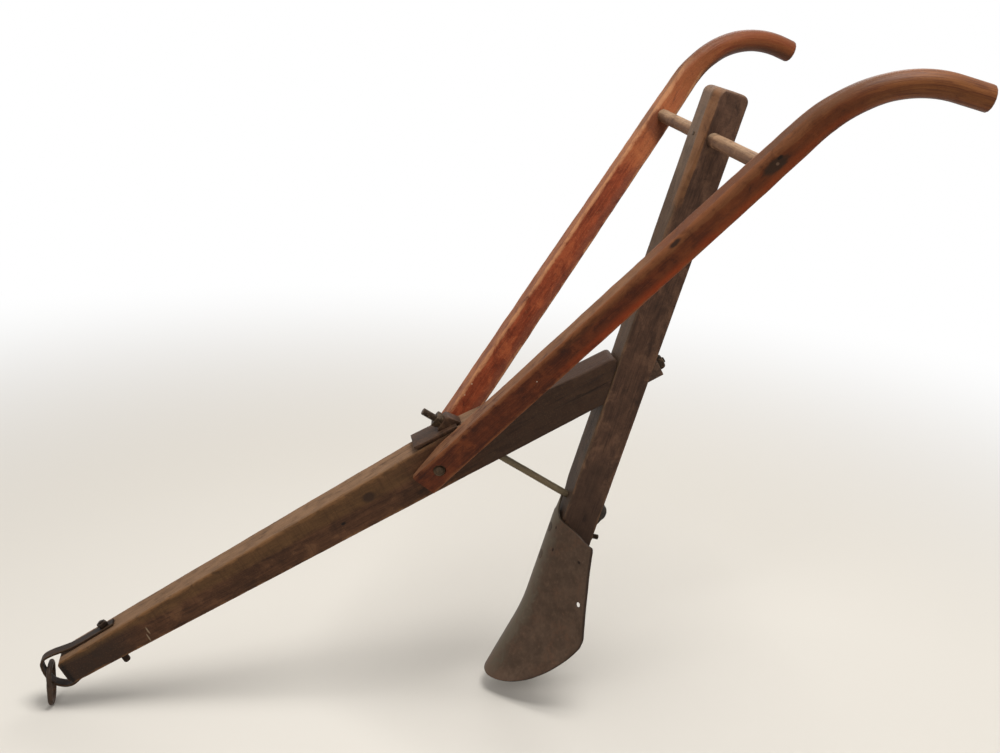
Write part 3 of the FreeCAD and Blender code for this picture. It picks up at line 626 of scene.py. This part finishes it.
def on_plate(t, w, depth=0.0, push=0.0):
    """Place t down the blade's crest and w out, on its outer face or depth behind it."""
    r, side = CREST_R - depth, abs(w)
    reach = r * math.sin(SWEEP)
    if side < reach:
        g = CREST_R - math.sqrt(r * r - side * side)
    else:
        g = depth + r * (1 - math.cos(SWEEP)) + (side - reach) * math.tan(SWEEP)
    g += push
    over, arc = t - STRAIGHT, BEND + g
    if over > arc * math.sin(TURN):
        g = arc * math.cos(TURN) - BEND - (over - arc * math.sin(TURN)) * math.tan(TURN)
    elif over > 0:
        g = math.sqrt(arc ** 2 - over ** 2) - BEND
    return at(BLADE_S - t * UP[0] + g * BACK[0], w, BLADE_Z - t * UP[1] + g * BACK[1])


def blade_mesh():
    rows = []
    shares = [-1, -0.992, -0.975] + [-0.95 + 1.9 * k / 46 for k in range(47)] + [0.975, 0.992, 1]
    for t, half in through(OUTLINE, 4):
        t, half = max(0.0, t / 1000), abs(half / 1000)
        front, back = [], []
        for f in shares:
            w = half * f
            near = min((1 - abs(f)) * half, max(0.0, BLADE_LONG - t) * 0.6)
            worn = math.exp(-near / 0.0009)
            thin = math.exp(-near / 0.012) * share((t - 0.19) / 0.03)
            dent = 0.0004 + 0.0004 * noise.noise(Vector((t * 14, w * 14, 3.1)))
            depth = BLADE_T - 0.0014 * thin
            edge = math.exp(-near / 0.003)
            front.append((on_plate(t, w, 0, dent + 0.0008 * worn), Vector((t, w, 0)), edge))
            back.append((on_plate(t, w, depth, dent - 0.0005 - 0.0005 * worn),
                         Vector((t, w, 1)), edge))
        rows.append(front + back[::-1])
    return skin("ShovelBlade", rows, 40)


def worked(piece, others, operation):
    """The piece's mesh with the others welded to it or cut out of it. This uses the others up."""
    for other in others:
        step = piece.modifiers.new("step", "BOOLEAN")
        step.object, step.operation, step.solver = other, operation, "EXACT"
    seen = bpy.context.evaluated_depsgraph_get()
    fresh = bpy.data.meshes.new_from_object(piece.evaluated_get(seen))
    piece.modifiers.clear()
    for other in others:
        bpy.data.objects.remove(other)
    return fresh


def bore_out(piece, holes):
    """Cuts round holes, each (middle, direction, radius, length), and mends the grain round them."""
    old = piece.data
    tree = kdtree.KDTree(len(old.vertices))
    for i, v in enumerate(old.vertices):
        tree.insert(v.co, i)
    tree.balance()
    cutters = []
    for middle, aim, radius, length in holes:
        bpy.ops.mesh.primitive_cylinder_add(vertices=40, radius=radius, depth=length, location=middle)
        cutters.append(bpy.context.object)
        cutters[-1].rotation_euler = Vector(aim).to_track_quat("Z", "Y").to_euler()
    fresh = worked(piece, cutters, "DIFFERENCE")
    for name, kind, field in (("fibre", "FLOAT_VECTOR", "vector"), ("arris", "FLOAT", "value")):
        if name in fresh.attributes:
            fresh.attributes.remove(fresh.attributes[name])
        layer = fresh.attributes.new(name, kind, "POINT")
        source = old.attributes[name].data
        for v in fresh.vertices:
            total, weights = Vector() if field == "vector" else 0.0, 0.0
            for _, index, away in tree.find_n(v.co, 4):
                weight = 1 / (away + 1e-6) ** 2
                total += getattr(source[index], field) * weight
                weights += weight
            setattr(layer.data[v.index], field, total / weights)
    piece.data = fresh
    fresh.set_sharp_from_angle(angle=math.radians(35))


def old_iron(name, dark, mid, light, rust, rusty=0.4, gloss=0.55, pits=0.6, scour=0.0, seed=0.0,
             rim_rub_or_shade=0.6, zones=(), spots=()):
    """Dull iron or steel with a brown skin of rust, pitted, and bright only where it is rubbed; with
    the rim setting below 0 its edges are painted dark instead, as painted shade.
    """
    iron = Finish(name, **{"Metallic": 0.25, "Specular IOR Level": 0.12})
    fibre = iron.attribute("fibre", "Vector")
    place = iron.vector("ADD", iron.place(), (seed, seed * 0.3, seed * 0.7))
    arris = iron.attribute("arris", "Fac")
    cloud = iron.grainy(place, 34, 6, 0.62, 0.5)
    scale = iron.grainy(place, 150, 6, 0.68, 0.2)
    speck = iron.grainy(place, 700, 3, 0.6)
    stain = iron.grainy(place, 17, 5, 0.6, 0.8)
    along = iron.fibrous(fibre, 9, 170, 5, 0.65)
    colour = iron.blend((cloud * 0.6 + scale * 0.4).step(0.38, 0.62), dark, mid)
    colour = iron.blend((stain * 0.5 + scale * 0.5).step(0.50, 0.64) * rusty, colour, rust)
    colour = iron.blend((along * scour).step(0.48, 0.70) * 0.7 + scale.step(0.56, 0.70) * 0.25,
                        colour, light)
    for tint, strength, spans in zones:
        colour = iron.blend(iron.zone(fibre, spans, cloud) * strength, colour, tint)
    # Edges: rubbed bright when the rim setting is above 0, painted shade when it is below 0.
    worn = (arris * 0.8 + scale * 0.8 - 0.8).step(0.0, 0.45)
    colour = iron.blend(worn * abs(rim_rub_or_shade), colour, light if rim_rub_or_shade > 0 else (30, 24, 20))
    hole = speck.step(0.40, 0.28) * cloud.step(0.44, 0.58) * pits
    for middle, long, wide in spots:
        hole = hole.larger(iron.spot(fibre, middle, long, wide, scale))
    colour = iron.blend(hole * 0.8, colour, (34, 23, 18))
    rub = arris * 0.10 + (along * scour).step(0.45, 0.75) * 0.12
    shine = gloss + scale * 0.22 + hole * 0.2 - rub
    return iron.coat(colour, shine, scale * 0.5 + cloud * 0.6 + speck * 0.25 - hole * 0.9, 0.5, 0.0007)


into = tip(-BACK[0], 0, BACK[1])
blade = blade_mesh()
holes = [(on_plate(t, 0, 0.002), into, BOLT_HOLE_R, 0.02) for t in BOLT_HOLES]
for side in (1, -1):
    square_on = tip(-BACK[0] * math.cos(SWEEP), -side * math.sin(SWEEP), BACK[1] * math.cos(SWEEP))
    holes.append((on_plate(WING_HOLE[0], side * WING_HOLE[1], 0.002), square_on, WING_HOLE_R, 0.03))
bore_out(blade, holes)
set_in(blade, "shovel_blade", old_iron(
    "blade steel", (68, 53, 42), (85, 67, 54), (106, 90, 74), (88, 57, 40), rusty=0.35,
    # The dark rim along the blade's edges is painted shade on the plate's edge thickness.
    gloss=0.40, pits=0.35, scour=0.5, seed=3.3, rim_rub_or_shade=-0.7,
    # The pale strip along the crest is partly the steel's tone and partly painted highlight on the
    # rounded crest.
    zones=(((108, 100, 84), 0.45, ((4, 0.036, 0.004),)),
           ((100, 80, 66), 0.6, ((0, 0.31, 0.36),))),
    spots=(((0.060, 0.021, 0), 0.003, 0.002), ((0.098, 0.030, 0), 0.004, 0.002),
           ((0.092, 0.076, 0), 0.003, 0.003))))

# ---------------------------------------------------------------- shovel bolts and nuts
# Forged bolts with flat sunk heads go through the crest and the foot of the standard. Their
# square nuts are drawn up on the back, with a few turns of worn thread standing out.
BOLT_R, NUT_BORE = 0.0047, 0.0048
NUT_SIDES, NUT_DRESS = 64, 1.12
FACE_GAP = (FRONT_FOOT + BLADE_Z * UP[0] / UP[1] - BLADE_S) * BACK[0]
RUSTY = old_iron("rusty iron", (50, 39, 29), (78, 62, 46), (118, 100, 78), (92, 60, 38),
                 rusty=0.45, gloss=0.45)


def aimed(aim):
    """Directions along, across and over a line on the level plough, as they stand in the frame."""
    line = Vector((-aim[0], aim[1], aim[2])).normalized()
    turn = Vector((0, 0, 1)).rotation_difference(line)
    return [tip(*v) for v in (line, turn @ Vector((1, 0, 0)), turn @ Vector((0, 1, 0)))]


def behind(place, away):
    """A place on the level plough, moved square to the standard by away."""
    return (place[0] + away * BACK[0], 0, place[2] + away * BACK[1])


def turned(name, start, aim, profile, thread=None, sides=32):
    """A piece round about a line; profile is (distance, radius), thread (from, to, pitch, depth)."""
    go, across, over = aimed(aim)
    origin = at(*start)
    marks = [(d, r, 0.0) for d, r in profile]
    if thread:
        low, high, pitch, depth = thread
        count = int((high - low) / pitch * 6)
        radius = min(profile, key=lambda m: abs(m[0] - (low + high) / 2) - m[1])[1]
        marks += [(low + (high - low) * k / count, radius, depth) for k in range(1, count)]
        marks.sort(key=lambda m: m[0])
    rows = []
    for d, r, depth in marks:
        row = []
        for i in range(sides):
            a = 2 * math.pi * i / sides
            cut = depth * (0.5 - 0.5 * math.cos(2 * math.pi * d / thread[2] - a)) if depth else 0.0
            r2 = r - cut - 0.00015 * (1 + noise.noise(Vector((d * 90, a, r * 200))))
            place = origin + go * d + (across * math.cos(a) + over * math.sin(a)) * r2
            row.append((place, place, 0.5 if depth else 0.2))
        rows.append(row)
    return skin(name, rows, 40)


def nut(name, start, aim, thick, flats, turn, bore=NUT_BORE):
    """A forged square nut with a bore, its outer corners dressed off."""
    go, across, over = aimed(aim)
    origin, half, rows = at(*start), flats / 2 - FINE, []
    for d, size, limit in ((0, 0, 0), (0, 0.96, 1.30), (0.0007, 1, 1.34), (thick * 0.4, 1, 1.34),
                           (thick * 0.72, 1, 1.28), (thick - 0.0006, 0.99, NUT_DRESS),
                           (thick, 0.94, NUT_DRESS * 0.93), (thick, 0, 0)):
        row = []
        for i in range(NUT_SIDES):
            a = 2 * math.pi * i / NUT_SIDES
            c, s = math.cos(a), math.sin(a)
            r, near = bore, 0.0
            if size:
                r = min(half / max(abs(c), abs(s)), half * limit) * size
                r -= 0.00018 * (1 + noise.noise(Vector((c * 3 + start[0] * 50, s * 3, d * 150))))
                near = 0.9 if size < 1 else max(0.0, (r / half - 1.2) * 5)
            b = a + math.radians(turn)
            place = origin + go * d + (across * math.cos(b) + over * math.sin(b)) * r
            row.append((place, place, near))
        rows.append(row)
    return skin(name, rows, 40, "joined")


for word, t, turn in (("Upper", BOLT_HOLES[0], 12), ("Lower", BOLT_HOLES[1], 40)):
    crest = (BLADE_S - t * UP[0], 0, BLADE_Z - t * UP[1])
    bolt = turned("ShovelBolt" + word, behind(crest, 0.0005), (BACK[0], 0, BACK[1]),
                  ((0, 0.0050), (0, 0.0083), (0.0003, 0.0089), (0.0044, BOLT_R), (0.060, BOLT_R),
                   (0.0900, BOLT_R), (0.0910, 0.0038)), (0.074, 0.0902, 0.0016, 0.0008))
    set_in(bolt, "shovel_bolt_" + word.lower(), RUSTY)
    seat = behind(crest, FACE_GAP + 2 * STD_HALF_D)
    set_in(nut("ShovelBoltNut" + word, seat, (BACK[0], 0, BACK[1]), 0.008, 0.0165, turn),
           "shovel_bolt_nut_" + word.lower(), RUSTY)

# ---------------------------------------------------------------- brace rod
# A round iron rod slants down through the beam and the standard. Its forged button head bears on
# a bevel washer behind the standard, and its upper end is threaded for the nut on the saddle.
ROD_TIP, ROD_DIR = (0.8092, 0.1313), math.radians(60.5)
ROD_AIM = (math.cos(ROD_DIR), 0, -math.sin(ROD_DIR))
ROD_R, WASHER_R, WASHER_DOWN = 0.00625, 0.0219, 0.005
ROD_THREAD = (0.001, 0.040, 0.0017, 0.0009)
LEAN_TAN = UP[0] / UP[1]
REAR = behind((FRONT_FOOT, 0, 0), 2 * STD_HALF_D)


def on_rod(t):
    return (ROD_TIP[0] + t * ROD_AIM[0], 0, ROD_TIP[1] + t * ROD_AIM[2])


rear_t = (REAR[0] - ROD_TIP[0] + (ROD_TIP[1] - REAR[2]) * LEAN_TAN) / (
    ROD_AIM[0] - ROD_AIM[2] * LEAN_TAN)
seat_t = rear_t + 0.008
shank = [(0, 0.0052), (0.0008, ROD_R)] + [(0.04 + k * 0.012, ROD_R) for k in range(25)]
shank = [m for m in shank if m[0] < seat_t - 0.01] + [(seat_t, ROD_R), (seat_t, 0.0146)]
button = [(seat_t + d, r) for d, r in ((0.0006, 0.015), (0.0030, 0.0149), (0.0052, 0.0132),
                                       (0.0074, 0.0104), (0.0091, 0.0069), (0.0102, 0.0030))]
head_shade_z, bare_z = at(*on_rod(seat_t - 0.012)).z, at(*on_rod(0.19)).z
set_in(turned("BraceRod", on_rod(0), ROD_AIM, shank + button, ROD_THREAD), "brace_rod", old_iron(
    "rod iron", (48, 37, 28), (80, 66, 51), (150, 134, 106), (74, 50, 35), rusty=0.5, gloss=0.36,
    scour=0.6, seed=6.2,
    zones=(((148, 134, 106), 0.35, ((2, bare_z + 0.07, bare_z + 0.05),
                                    (2, bare_z - 0.07, bare_z - 0.05))),
           # The rod's end by the washer and its button head are painted dark: painted shade under the
           # leaning standard.
           ((34, 29, 25), 1.0, ((2, head_shade_z + 0.006, head_shade_z),)))))


def bevel_washer():
    """A cast washer that fills the wedge between the standard's back and the rod's head."""
    go, across, over = aimed(ROD_AIM)
    wood, rows = at(*REAR), []
    for r, outer, on_wood, pull, near in ((ROD_R + 0.0001, 0, 1, 0, 0),
                                          (WASHER_R - 0.0001, 1, 1, 0, 0.6),
                                          (WASHER_R, 1, 0, 0.0012, 0.8),
                                          (WASHER_R - 0.0009, 1, 0, 0, 0.9),
                                          (ROD_R + 0.0001, 0, 0, 0, 0)):
        row = []
        for i in range(48):
            a = 2 * math.pi * i / 48
            edge = at(*on_rod(seat_t - pull)) + (across * math.cos(a) + over * math.sin(a)) * r
            edge += outer * WASHER_DOWN * tip(-ROD_AIM[2], 0, -ROD_AIM[0])
            if on_wood:
                edge -= go * ((edge - wood).dot(into) / go.dot(into) - 0.0001)
            row.append((edge, edge, near))
        rows.append(row)
    return skin("BraceRodWasher", rows, 40, "joined")


# The washer is painted darker than the other irons: painted shade under the leaning standard.
set_in(bevel_washer(), "brace_rod_washer", old_iron(
    "washer iron in painted shade", (30, 26, 23), (44, 38, 32), (84, 76, 66), (58, 42, 32), seed=1.4))
set_in(nut("BraceRodNut", on_rod(0.024), ROD_AIM, 0.0115, 0.021, 20, 0.0064), "brace_rod_nut",
       RUSTY)

# ---------------------------------------------------------------- rod saddle
# The saddle is an iron plate lying over the beam, its front end lifted. A lug forged on it gives
# the brace rod's nut a face square to the rod.
PLATE = ((768.2, 86.9), (848, 84.8), (848.8, 90.2), (768.6, 92.2))
LUG_LOW, LUG_HIGH, LUG_THICK, LUG_FOOT = 13, 12, 5, ((858, 86.2), (846, 86.0), (830, 86.8))


def prism(name, outline, half, bevel):
    """A side-view outline in mm, made a bar of a given half width with its edges rubbed round."""
    n = len(outline)
    places = [at(s / 1000, side * half, z / 1000) for side in (1, -1) for s, z in outline]
    faces = [tuple(range(n)), tuple(range(2 * n - 1, n - 1, -1))]
    faces += [(i, i + n, (i + 1) % n + n, (i + 1) % n) for i in range(n)]
    mesh = shell(name, places, faces, bevel)
    return stand(name, mesh, [0.5] * len(mesh.vertices))


def on_lug(up, back=0):
    """A place on the lug's slanting face, up it from the rod's line."""
    s, _, z = on_rod(0.0355)
    return (s * 1000 - up * ROD_AIM[2] + back, z * 1000 + up * ROD_AIM[0])


lug = (on_lug(-LUG_LOW), on_lug(LUG_HIGH), on_lug(LUG_HIGH, LUG_THICK)) + LUG_FOOT
saddle = prism("RodSaddle", PLATE, 0.0284, 0.0009)
saddle.data = worked(saddle, [prism("lug", lug, 0.0149, 0.0014)], "UNION")
saddle.data.shade_smooth()
saddle.data.set_sharp_from_angle(angle=math.radians(30))
set_in(saddle, "rod_saddle", old_iron(
    "saddle iron", (48, 33, 23), (72, 51, 37), (104, 82, 60), (80, 50, 33), rusty=0.4, gloss=0.5,
    seed=5.1))

# ---------------------------------------------------------------- beam bolt
# A long iron bolt draws the beam's tenon up to the standard. An iron block, bevelled to the
# standard's lean, squares the seat of the bolt's nut.
BEAM_BOLT_Z, BEAM_BOLT_R = 0.0095, 0.0054
BLOCK_LOW, BLOCK_HIGH, BLOCK_BACK, BLOCK_HALF_W = -0.0079, 0.0199, 1.1983, 0.0169
set_in(turned("BeamBolt", (1.095, 0, BEAM_BOLT_Z), (1, 0, 0),
              ((0, 0.0045), (0.001, BEAM_BOLT_R), (0.05, BEAM_BOLT_R), (0.1160, BEAM_BOLT_R),
               (0.117, 0.0044)), (0.104, 0.1163, 0.0017, 0.0009)), "beam_bolt", RUSTY)
low_s, high_s = (REAR[0] + (z - REAR[2]) * LEAN_TAN for z in (-0.008, 0.020))
outline = ((low_s, BLOCK_LOW), (BLOCK_BACK, BLOCK_LOW), (BLOCK_BACK, BLOCK_HIGH),
           (high_s, BLOCK_HIGH))
block = prism("BeamBoltBlock", [(s * 1000, z * 1000) for s, z in outline], BLOCK_HALF_W, 0.0012)
set_in(block, "beam_bolt_block", old_iron(
    "block iron", (70, 54, 44), (106, 82, 67), (134, 112, 92), (98, 64, 42), seed=9.4))
set_in(nut("BeamBoltNut", (BLOCK_BACK + 0.0001, 0, BEAM_BOLT_Z), (1, 0, 0), 0.0105, 0.020, 18,
           0.0056), "beam_bolt_nut", RUSTY)

# ---------------------------------------------------------------- handle bolt
# One round-headed bolt pins both handles to the beam. Its washers sit in shallow recesses bored
# in the slanting outer sides, head on the left and square nut on the right.
PIN_S, PIN_Z, PIN_SEAT, PIN_START = 0.789, 0.044, 0.0506, -0.061
WASHER_T, WASHER_HOLE, WASHER_RIM, RECESS_R = 0.0021, 0.0049, 0.0099, 0.011
for word, side in (("Left", 1), ("Right", -1)):
    bore_out(bpy.data.objects[word + "Handle"],
             [(at(PIN_S, side * (PIN_SEAT + 0.015), PIN_Z), (0, 1, 0), RECESS_R, 0.030)])
    rows = []
    for r, d, near in ((WASHER_HOLE, 0, 0.0), (WASHER_RIM, 0, 0.4), (WASHER_RIM, 0.0016, 0.6),
                       (0.0094, WASHER_T, 0.8), (WASHER_HOLE, WASHER_T, 0.0)):
        row = [at(PIN_S + r * math.cos(a), side * (PIN_SEAT + d), PIN_Z + r * math.sin(a))
               for a in (k * math.pi / 20 for k in range(40))]
        rows.append([(place, place, near) for place in row])
    set_in(skin("HandleWasher" + word, rows, 40, "joined"), "handle_washer_" + word.lower(), RUSTY)
top = PIN_SEAT + WASHER_T - PIN_START
set_in(turned("HandleBolt", (PIN_S, PIN_START, PIN_Z), (0, 1, 0),
              ((0, 0.0038), (0.0008, BOLT_R), (0.06, BOLT_R), (top, BOLT_R), (top, 0.0085),
               (top + 0.0009, 0.0086), (top + 0.0030, 0.0073), (top + 0.0048, 0.0051),
               (top + 0.0059, 0.0024)), (0.001, 0.012, 0.0015, 0.0008)), "handle_bolt", RUSTY)
set_in(nut("HandleBoltNut", (PIN_S, -PIN_SEAT - WASHER_T, PIN_Z), (0, -1, 0), 0.0074, 0.015, 25),
       "handle_bolt_nut", RUSTY)

# ---------------------------------------------------------------- draft strap
# A flat bar forged round the beam's nose with a drooping lower lip. Its bend holds the draft link,
# and one bolt through both of its legs and the beam keeps it on.
STRAP_LINE = ((176, 54.5), (140, 52.6), (114, 51.3), (96, 51.3), (80, 53.2), (66, 55.6), (54, 56.6),
              (44, 55.6), (37, 51), (33.4, 43), (31.5, 31), (32, 19), (35, 8.5), (41, 0.5), (49, -6),
              (58, -9.0), (67, -8.3), (78, -5.4), (92, -3.2), (112, -2.35), (140, -2.3), (170, -2.3))
STRAP_W, STRAP_T = 0.021, 0.0045
STRAP_BOLT_S, STRAP_TOP = 0.158, 0.05645
STRAP_IRON = old_iron("strap iron", (28, 19, 13), (42, 30, 21), (78, 60, 44), (70, 43, 27),
                      rusty=0.5, gloss=0.46, seed=8.8)


def strap_mesh():
    line = [p / 1000 for p in through(STRAP_LINE, 7)]
    rows, gone = [], 0.0
    for k, p in enumerate(line):
        ahead = (line[min(k + 1, len(line) - 1)] - line[max(k - 1, 0)]).normalized()
        gone += (p - line[k - 1]).length if k else 0.0
        end = min(k, len(line) - 1 - k)
        narrow = 0.0008 * (end == 0) + 0.0002 * (end == 1) + 0.0002 * rough(gone, 71, 0.02)
        half_w = STRAP_W / 2 - FINE - abs(narrow)
        half_t = STRAP_T / 2 - FINE - 0.0001 * rough(gone, 73, 0.01)
        rows.append([(at(p.x + ahead.y * b, a, p.y - ahead.x * b), Vector((gone, a, b)),
                      near if abs(a) > half_w - 0.002 else 0.0)
                     for a, b, near in ring(half_w, half_t, [0.0009] * 4, 3)])
    return skin("DraftStrap", rows, 50)


set_in(strap_mesh(), "draft_strap", STRAP_IRON)
set_in(turned("StrapBolt", (STRAP_BOLT_S, 0, STRAP_TOP + 0.010), (0, 0, -1),
              ((0, 0.0038), (0.0009, BOLT_R), (0.040, BOLT_R), (0.07205, BOLT_R), (0.07205, 0.0062),
               (0.0728, 0.0065), (0.0858, 0.0064), (0.0878, 0.0052), (0.0887, 0.0028)),
              (0.001, 0.012, 0.0015, 0.0008)), "strap_bolt", STRAP_IRON)
set_in(nut("StrapBoltNut", (STRAP_BOLT_S, 0, STRAP_TOP), (0, 0, 1), 0.008, 0.0155, 33),
       "strap_bolt_nut", STRAP_IRON)

# ---------------------------------------------------------------- draft link
# A hand-forged ring of round bar, straight where it lies in the strap's bend and bowed below. It
# hangs plumb and swings; the smith's scarf weld shows as a thicker place on one side.
LINK_S, LINK_Z, LINK_R = 0.0448, 0.038, 0.00475
LINK_LONG, LINK_HALF, LINK_CORNER = 0.070, 0.023, 0.014
WELD_DOWN = 0.032


def link_mesh():
    flat, bow = LINK_HALF - LINK_CORNER, LINK_LONG - LINK_HALF
    half = [Vector((flat * k / 4, 0)) for k in range(4)]
    half += [Vector((flat + LINK_CORNER * math.sin(a), LINK_CORNER * (1 - math.cos(a))))
             for a in (math.pi / 16 * k for k in range(9))]
    half += [Vector((LINK_HALF, LINK_CORNER + (bow - LINK_CORNER) * k / 8)) for k in range(1, 8)]
    half += [Vector((LINK_HALF * math.cos(a), bow + LINK_HALF * math.sin(a)))
             for a in (math.pi / 24 * k for k in range(13))]
    path = half + [Vector((-v.x, v.y)) for v in half[-2:0:-1]]
    rows, gone, count = [], 0.0, len(path)
    for k, p in enumerate(path):
        ahead = (path[(k + 1) % count] - path[k - 1]).normalized()
        gone += (p - path[k - 1]).length
        weld = math.exp(-((p - Vector((LINK_HALF, WELD_DOWN))).length / 0.007) ** 2)
        r = LINK_R - 0.0005 + 0.0004 * weld + 0.00025 * rough(gone, 81, 0.012)
        row = []
        for i in range(20):
            a = 2 * math.pi * i / 20
            squash = 1 - 0.07 * weld * abs(math.sin(a))
            side = Vector((ahead.y, -ahead.x)) * math.cos(a) * r * squash
            place = at(LINK_S, 0, LINK_Z) + Vector((math.sin(a) * r, p.x + side.x, -p.y - side.y))
            row.append((place, Vector((gone, 0, 0)), 0.15 + 0.3 * weld))
        rows.append(row)
    return skin("DraftLink", rows, 60, "joined")


set_in(link_mesh(), "draft_link", old_iron(
    "link iron", (48, 38, 31), (72, 57, 46), (116, 98, 80), (100, 56, 34), rusty=0.6, gloss=0.42,
    seed=2.2), body="draft_link")

# ---------------------------------------------------------------- nail
# One cut iron nail, its head left a little proud, is driven through the standard's front face to
# keep the round from turning.
NAIL_R, NAIL_PROUD = 0.0015, 0.0012
deep = (RUNG_S - FRONT_FOOT - RUNG_Z * LEAN_TAN) * UP[1]
start = behind((RUNG_S, 0, RUNG_Z), -deep - NAIL_PROUD)
long = deep - RUNG_R + 0.0090
set_in(turned("StandardNail", start, (BACK[0], 0, BACK[1]),
              ((0, 0.0022), (0.0004, 0.0031), (0.0012, 0.0030), (0.0013, NAIL_R), (0.02, NAIL_R),
               (long, NAIL_R), (long + 0.0011, 0.0006)), None, 16), "standard_nail", RUSTY)

# ---------------------------------------------------------------- stage
# A plain pale floor lies under the plough and fades to white behind it. The sky is white where
# it is seen or mirrored, and lights the plough softly all round.
FADE_NEAR, FADE_FAR = 1.0, 2.9
SKY_LIGHT = 0.42
WHITE = (1, 1, 1, 1)


class Backdrop(Finish):
    """The floor's paint or the sky: white to some rays and plain to the rest."""

    def __init__(self, tree, plain):
        self.tree, self.shader = tree, tree.nodes[plain]

    def seen(self):
        """1 for rays that show it: from the camera, mirrored or through glass."""
        camera, glossy, glass = (self.add("ShaderNodeLightPath", out=f"Is {ray} Ray")
                                 for ray in ("Camera", "Glossy", "Transmission"))
        return camera.larger(glossy).larger(glass)

    def whiten(self, mask, white, output):
        glow = self.add(white, {}, {"Color": WHITE, "Strength": 1.0})
        mixed = self.add("ShaderNodeMixShader", {}, {
            0: mask, 1: Flow(self, self.shader.outputs[0]), 2: glow})
        self.tree.links.new(mixed.socket, self.tree.nodes[output].inputs["Surface"])


bpy.ops.mesh.primitive_plane_add(size=40, location=(0, 0, cad_box[0][2] - 0.0005))
floor = bpy.context.object
floor.name = "floor"
paint = bpy.data.materials.new("floor paint")
paint.use_nodes = True
backdrop = Backdrop(paint.node_tree, "Principled BSDF")
backdrop.shader.inputs["Roughness"].default_value = 0.9
backdrop.shader.inputs["Base Color"].default_value = srgb(212, 206, 196)
away = backdrop.vector("LENGTH", backdrop.vector("SUBTRACT", backdrop.place(), (0.63, 0, 0)),
                       out="Value")
backdrop.whiten(away.step(FADE_NEAR, FADE_FAR) * backdrop.seen(), "ShaderNodeEmission",
                "Material Output")
floor.data.materials.append(paint)

world = bpy.data.worlds.new("studio")
bpy.context.scene.world = world
world.use_nodes = True
sky = Backdrop(world.node_tree, "Background")
sky.shader.inputs["Color"].default_value = WHITE
sky.shader.inputs["Strength"].default_value = SKY_LIGHT
sky.whiten(sky.seen(), "ShaderNodeBackground", "World Output")


def lamp(name, place, aim, size, power):
    light = bpy.data.lights.new(name, "AREA")
    light.shape = "DISK"
    light.size = size
    light.energy = power
    holder = bpy.data.objects.new(name, light)
    bpy.context.scene.collection.objects.link(holder)
    holder.location = place
    holder.rotation_euler = (Vector(aim) - Vector(place)).to_track_quat("-Z", "Y").to_euler()


middle = (cad_box[0][0] + cad_box[1][0]) / 2
lamp("ceiling lamp", (middle - 0.5, 0.5, 2.4), (middle, 0, -0.6), 1.8, 105)
lamp("front lamp", (middle + 2.6, 2.2, 1.0), (middle, 0, -0.5), 1.6, 20)
lamp("back lamp", (middle - 1.2, -2.8, 1.6), (middle, 0, -0.5), 1.8, 22)

# ---------------------------------------------------------------- camera
# A person beside the plough, on its left, looks across and a little down at it. The whole of it
# is in the frame.
camera_data = bpy.data.cameras.new("camera")
camera_data.sensor_width = 36
camera_data.lens = 47.47
camera = bpy.data.objects.new("camera", camera_data)
bpy.context.scene.collection.objects.link(camera)
right = tip(-0.8849, 0.1654, -0.4355)
down = tip(0.4658, 0.3216, -0.8244)
ahead = tip(0.0038, -0.9323, -0.3616)
eye = at(0.959, 2.061, 0.921)
turn = Matrix((right, -down, -ahead)).transposed().to_4x4()
camera.matrix_world = Matrix.Translation(eye) @ turn
bpy.context.scene.camera = camera

bpy.context.scene.view_settings.view_transform = "Standard"
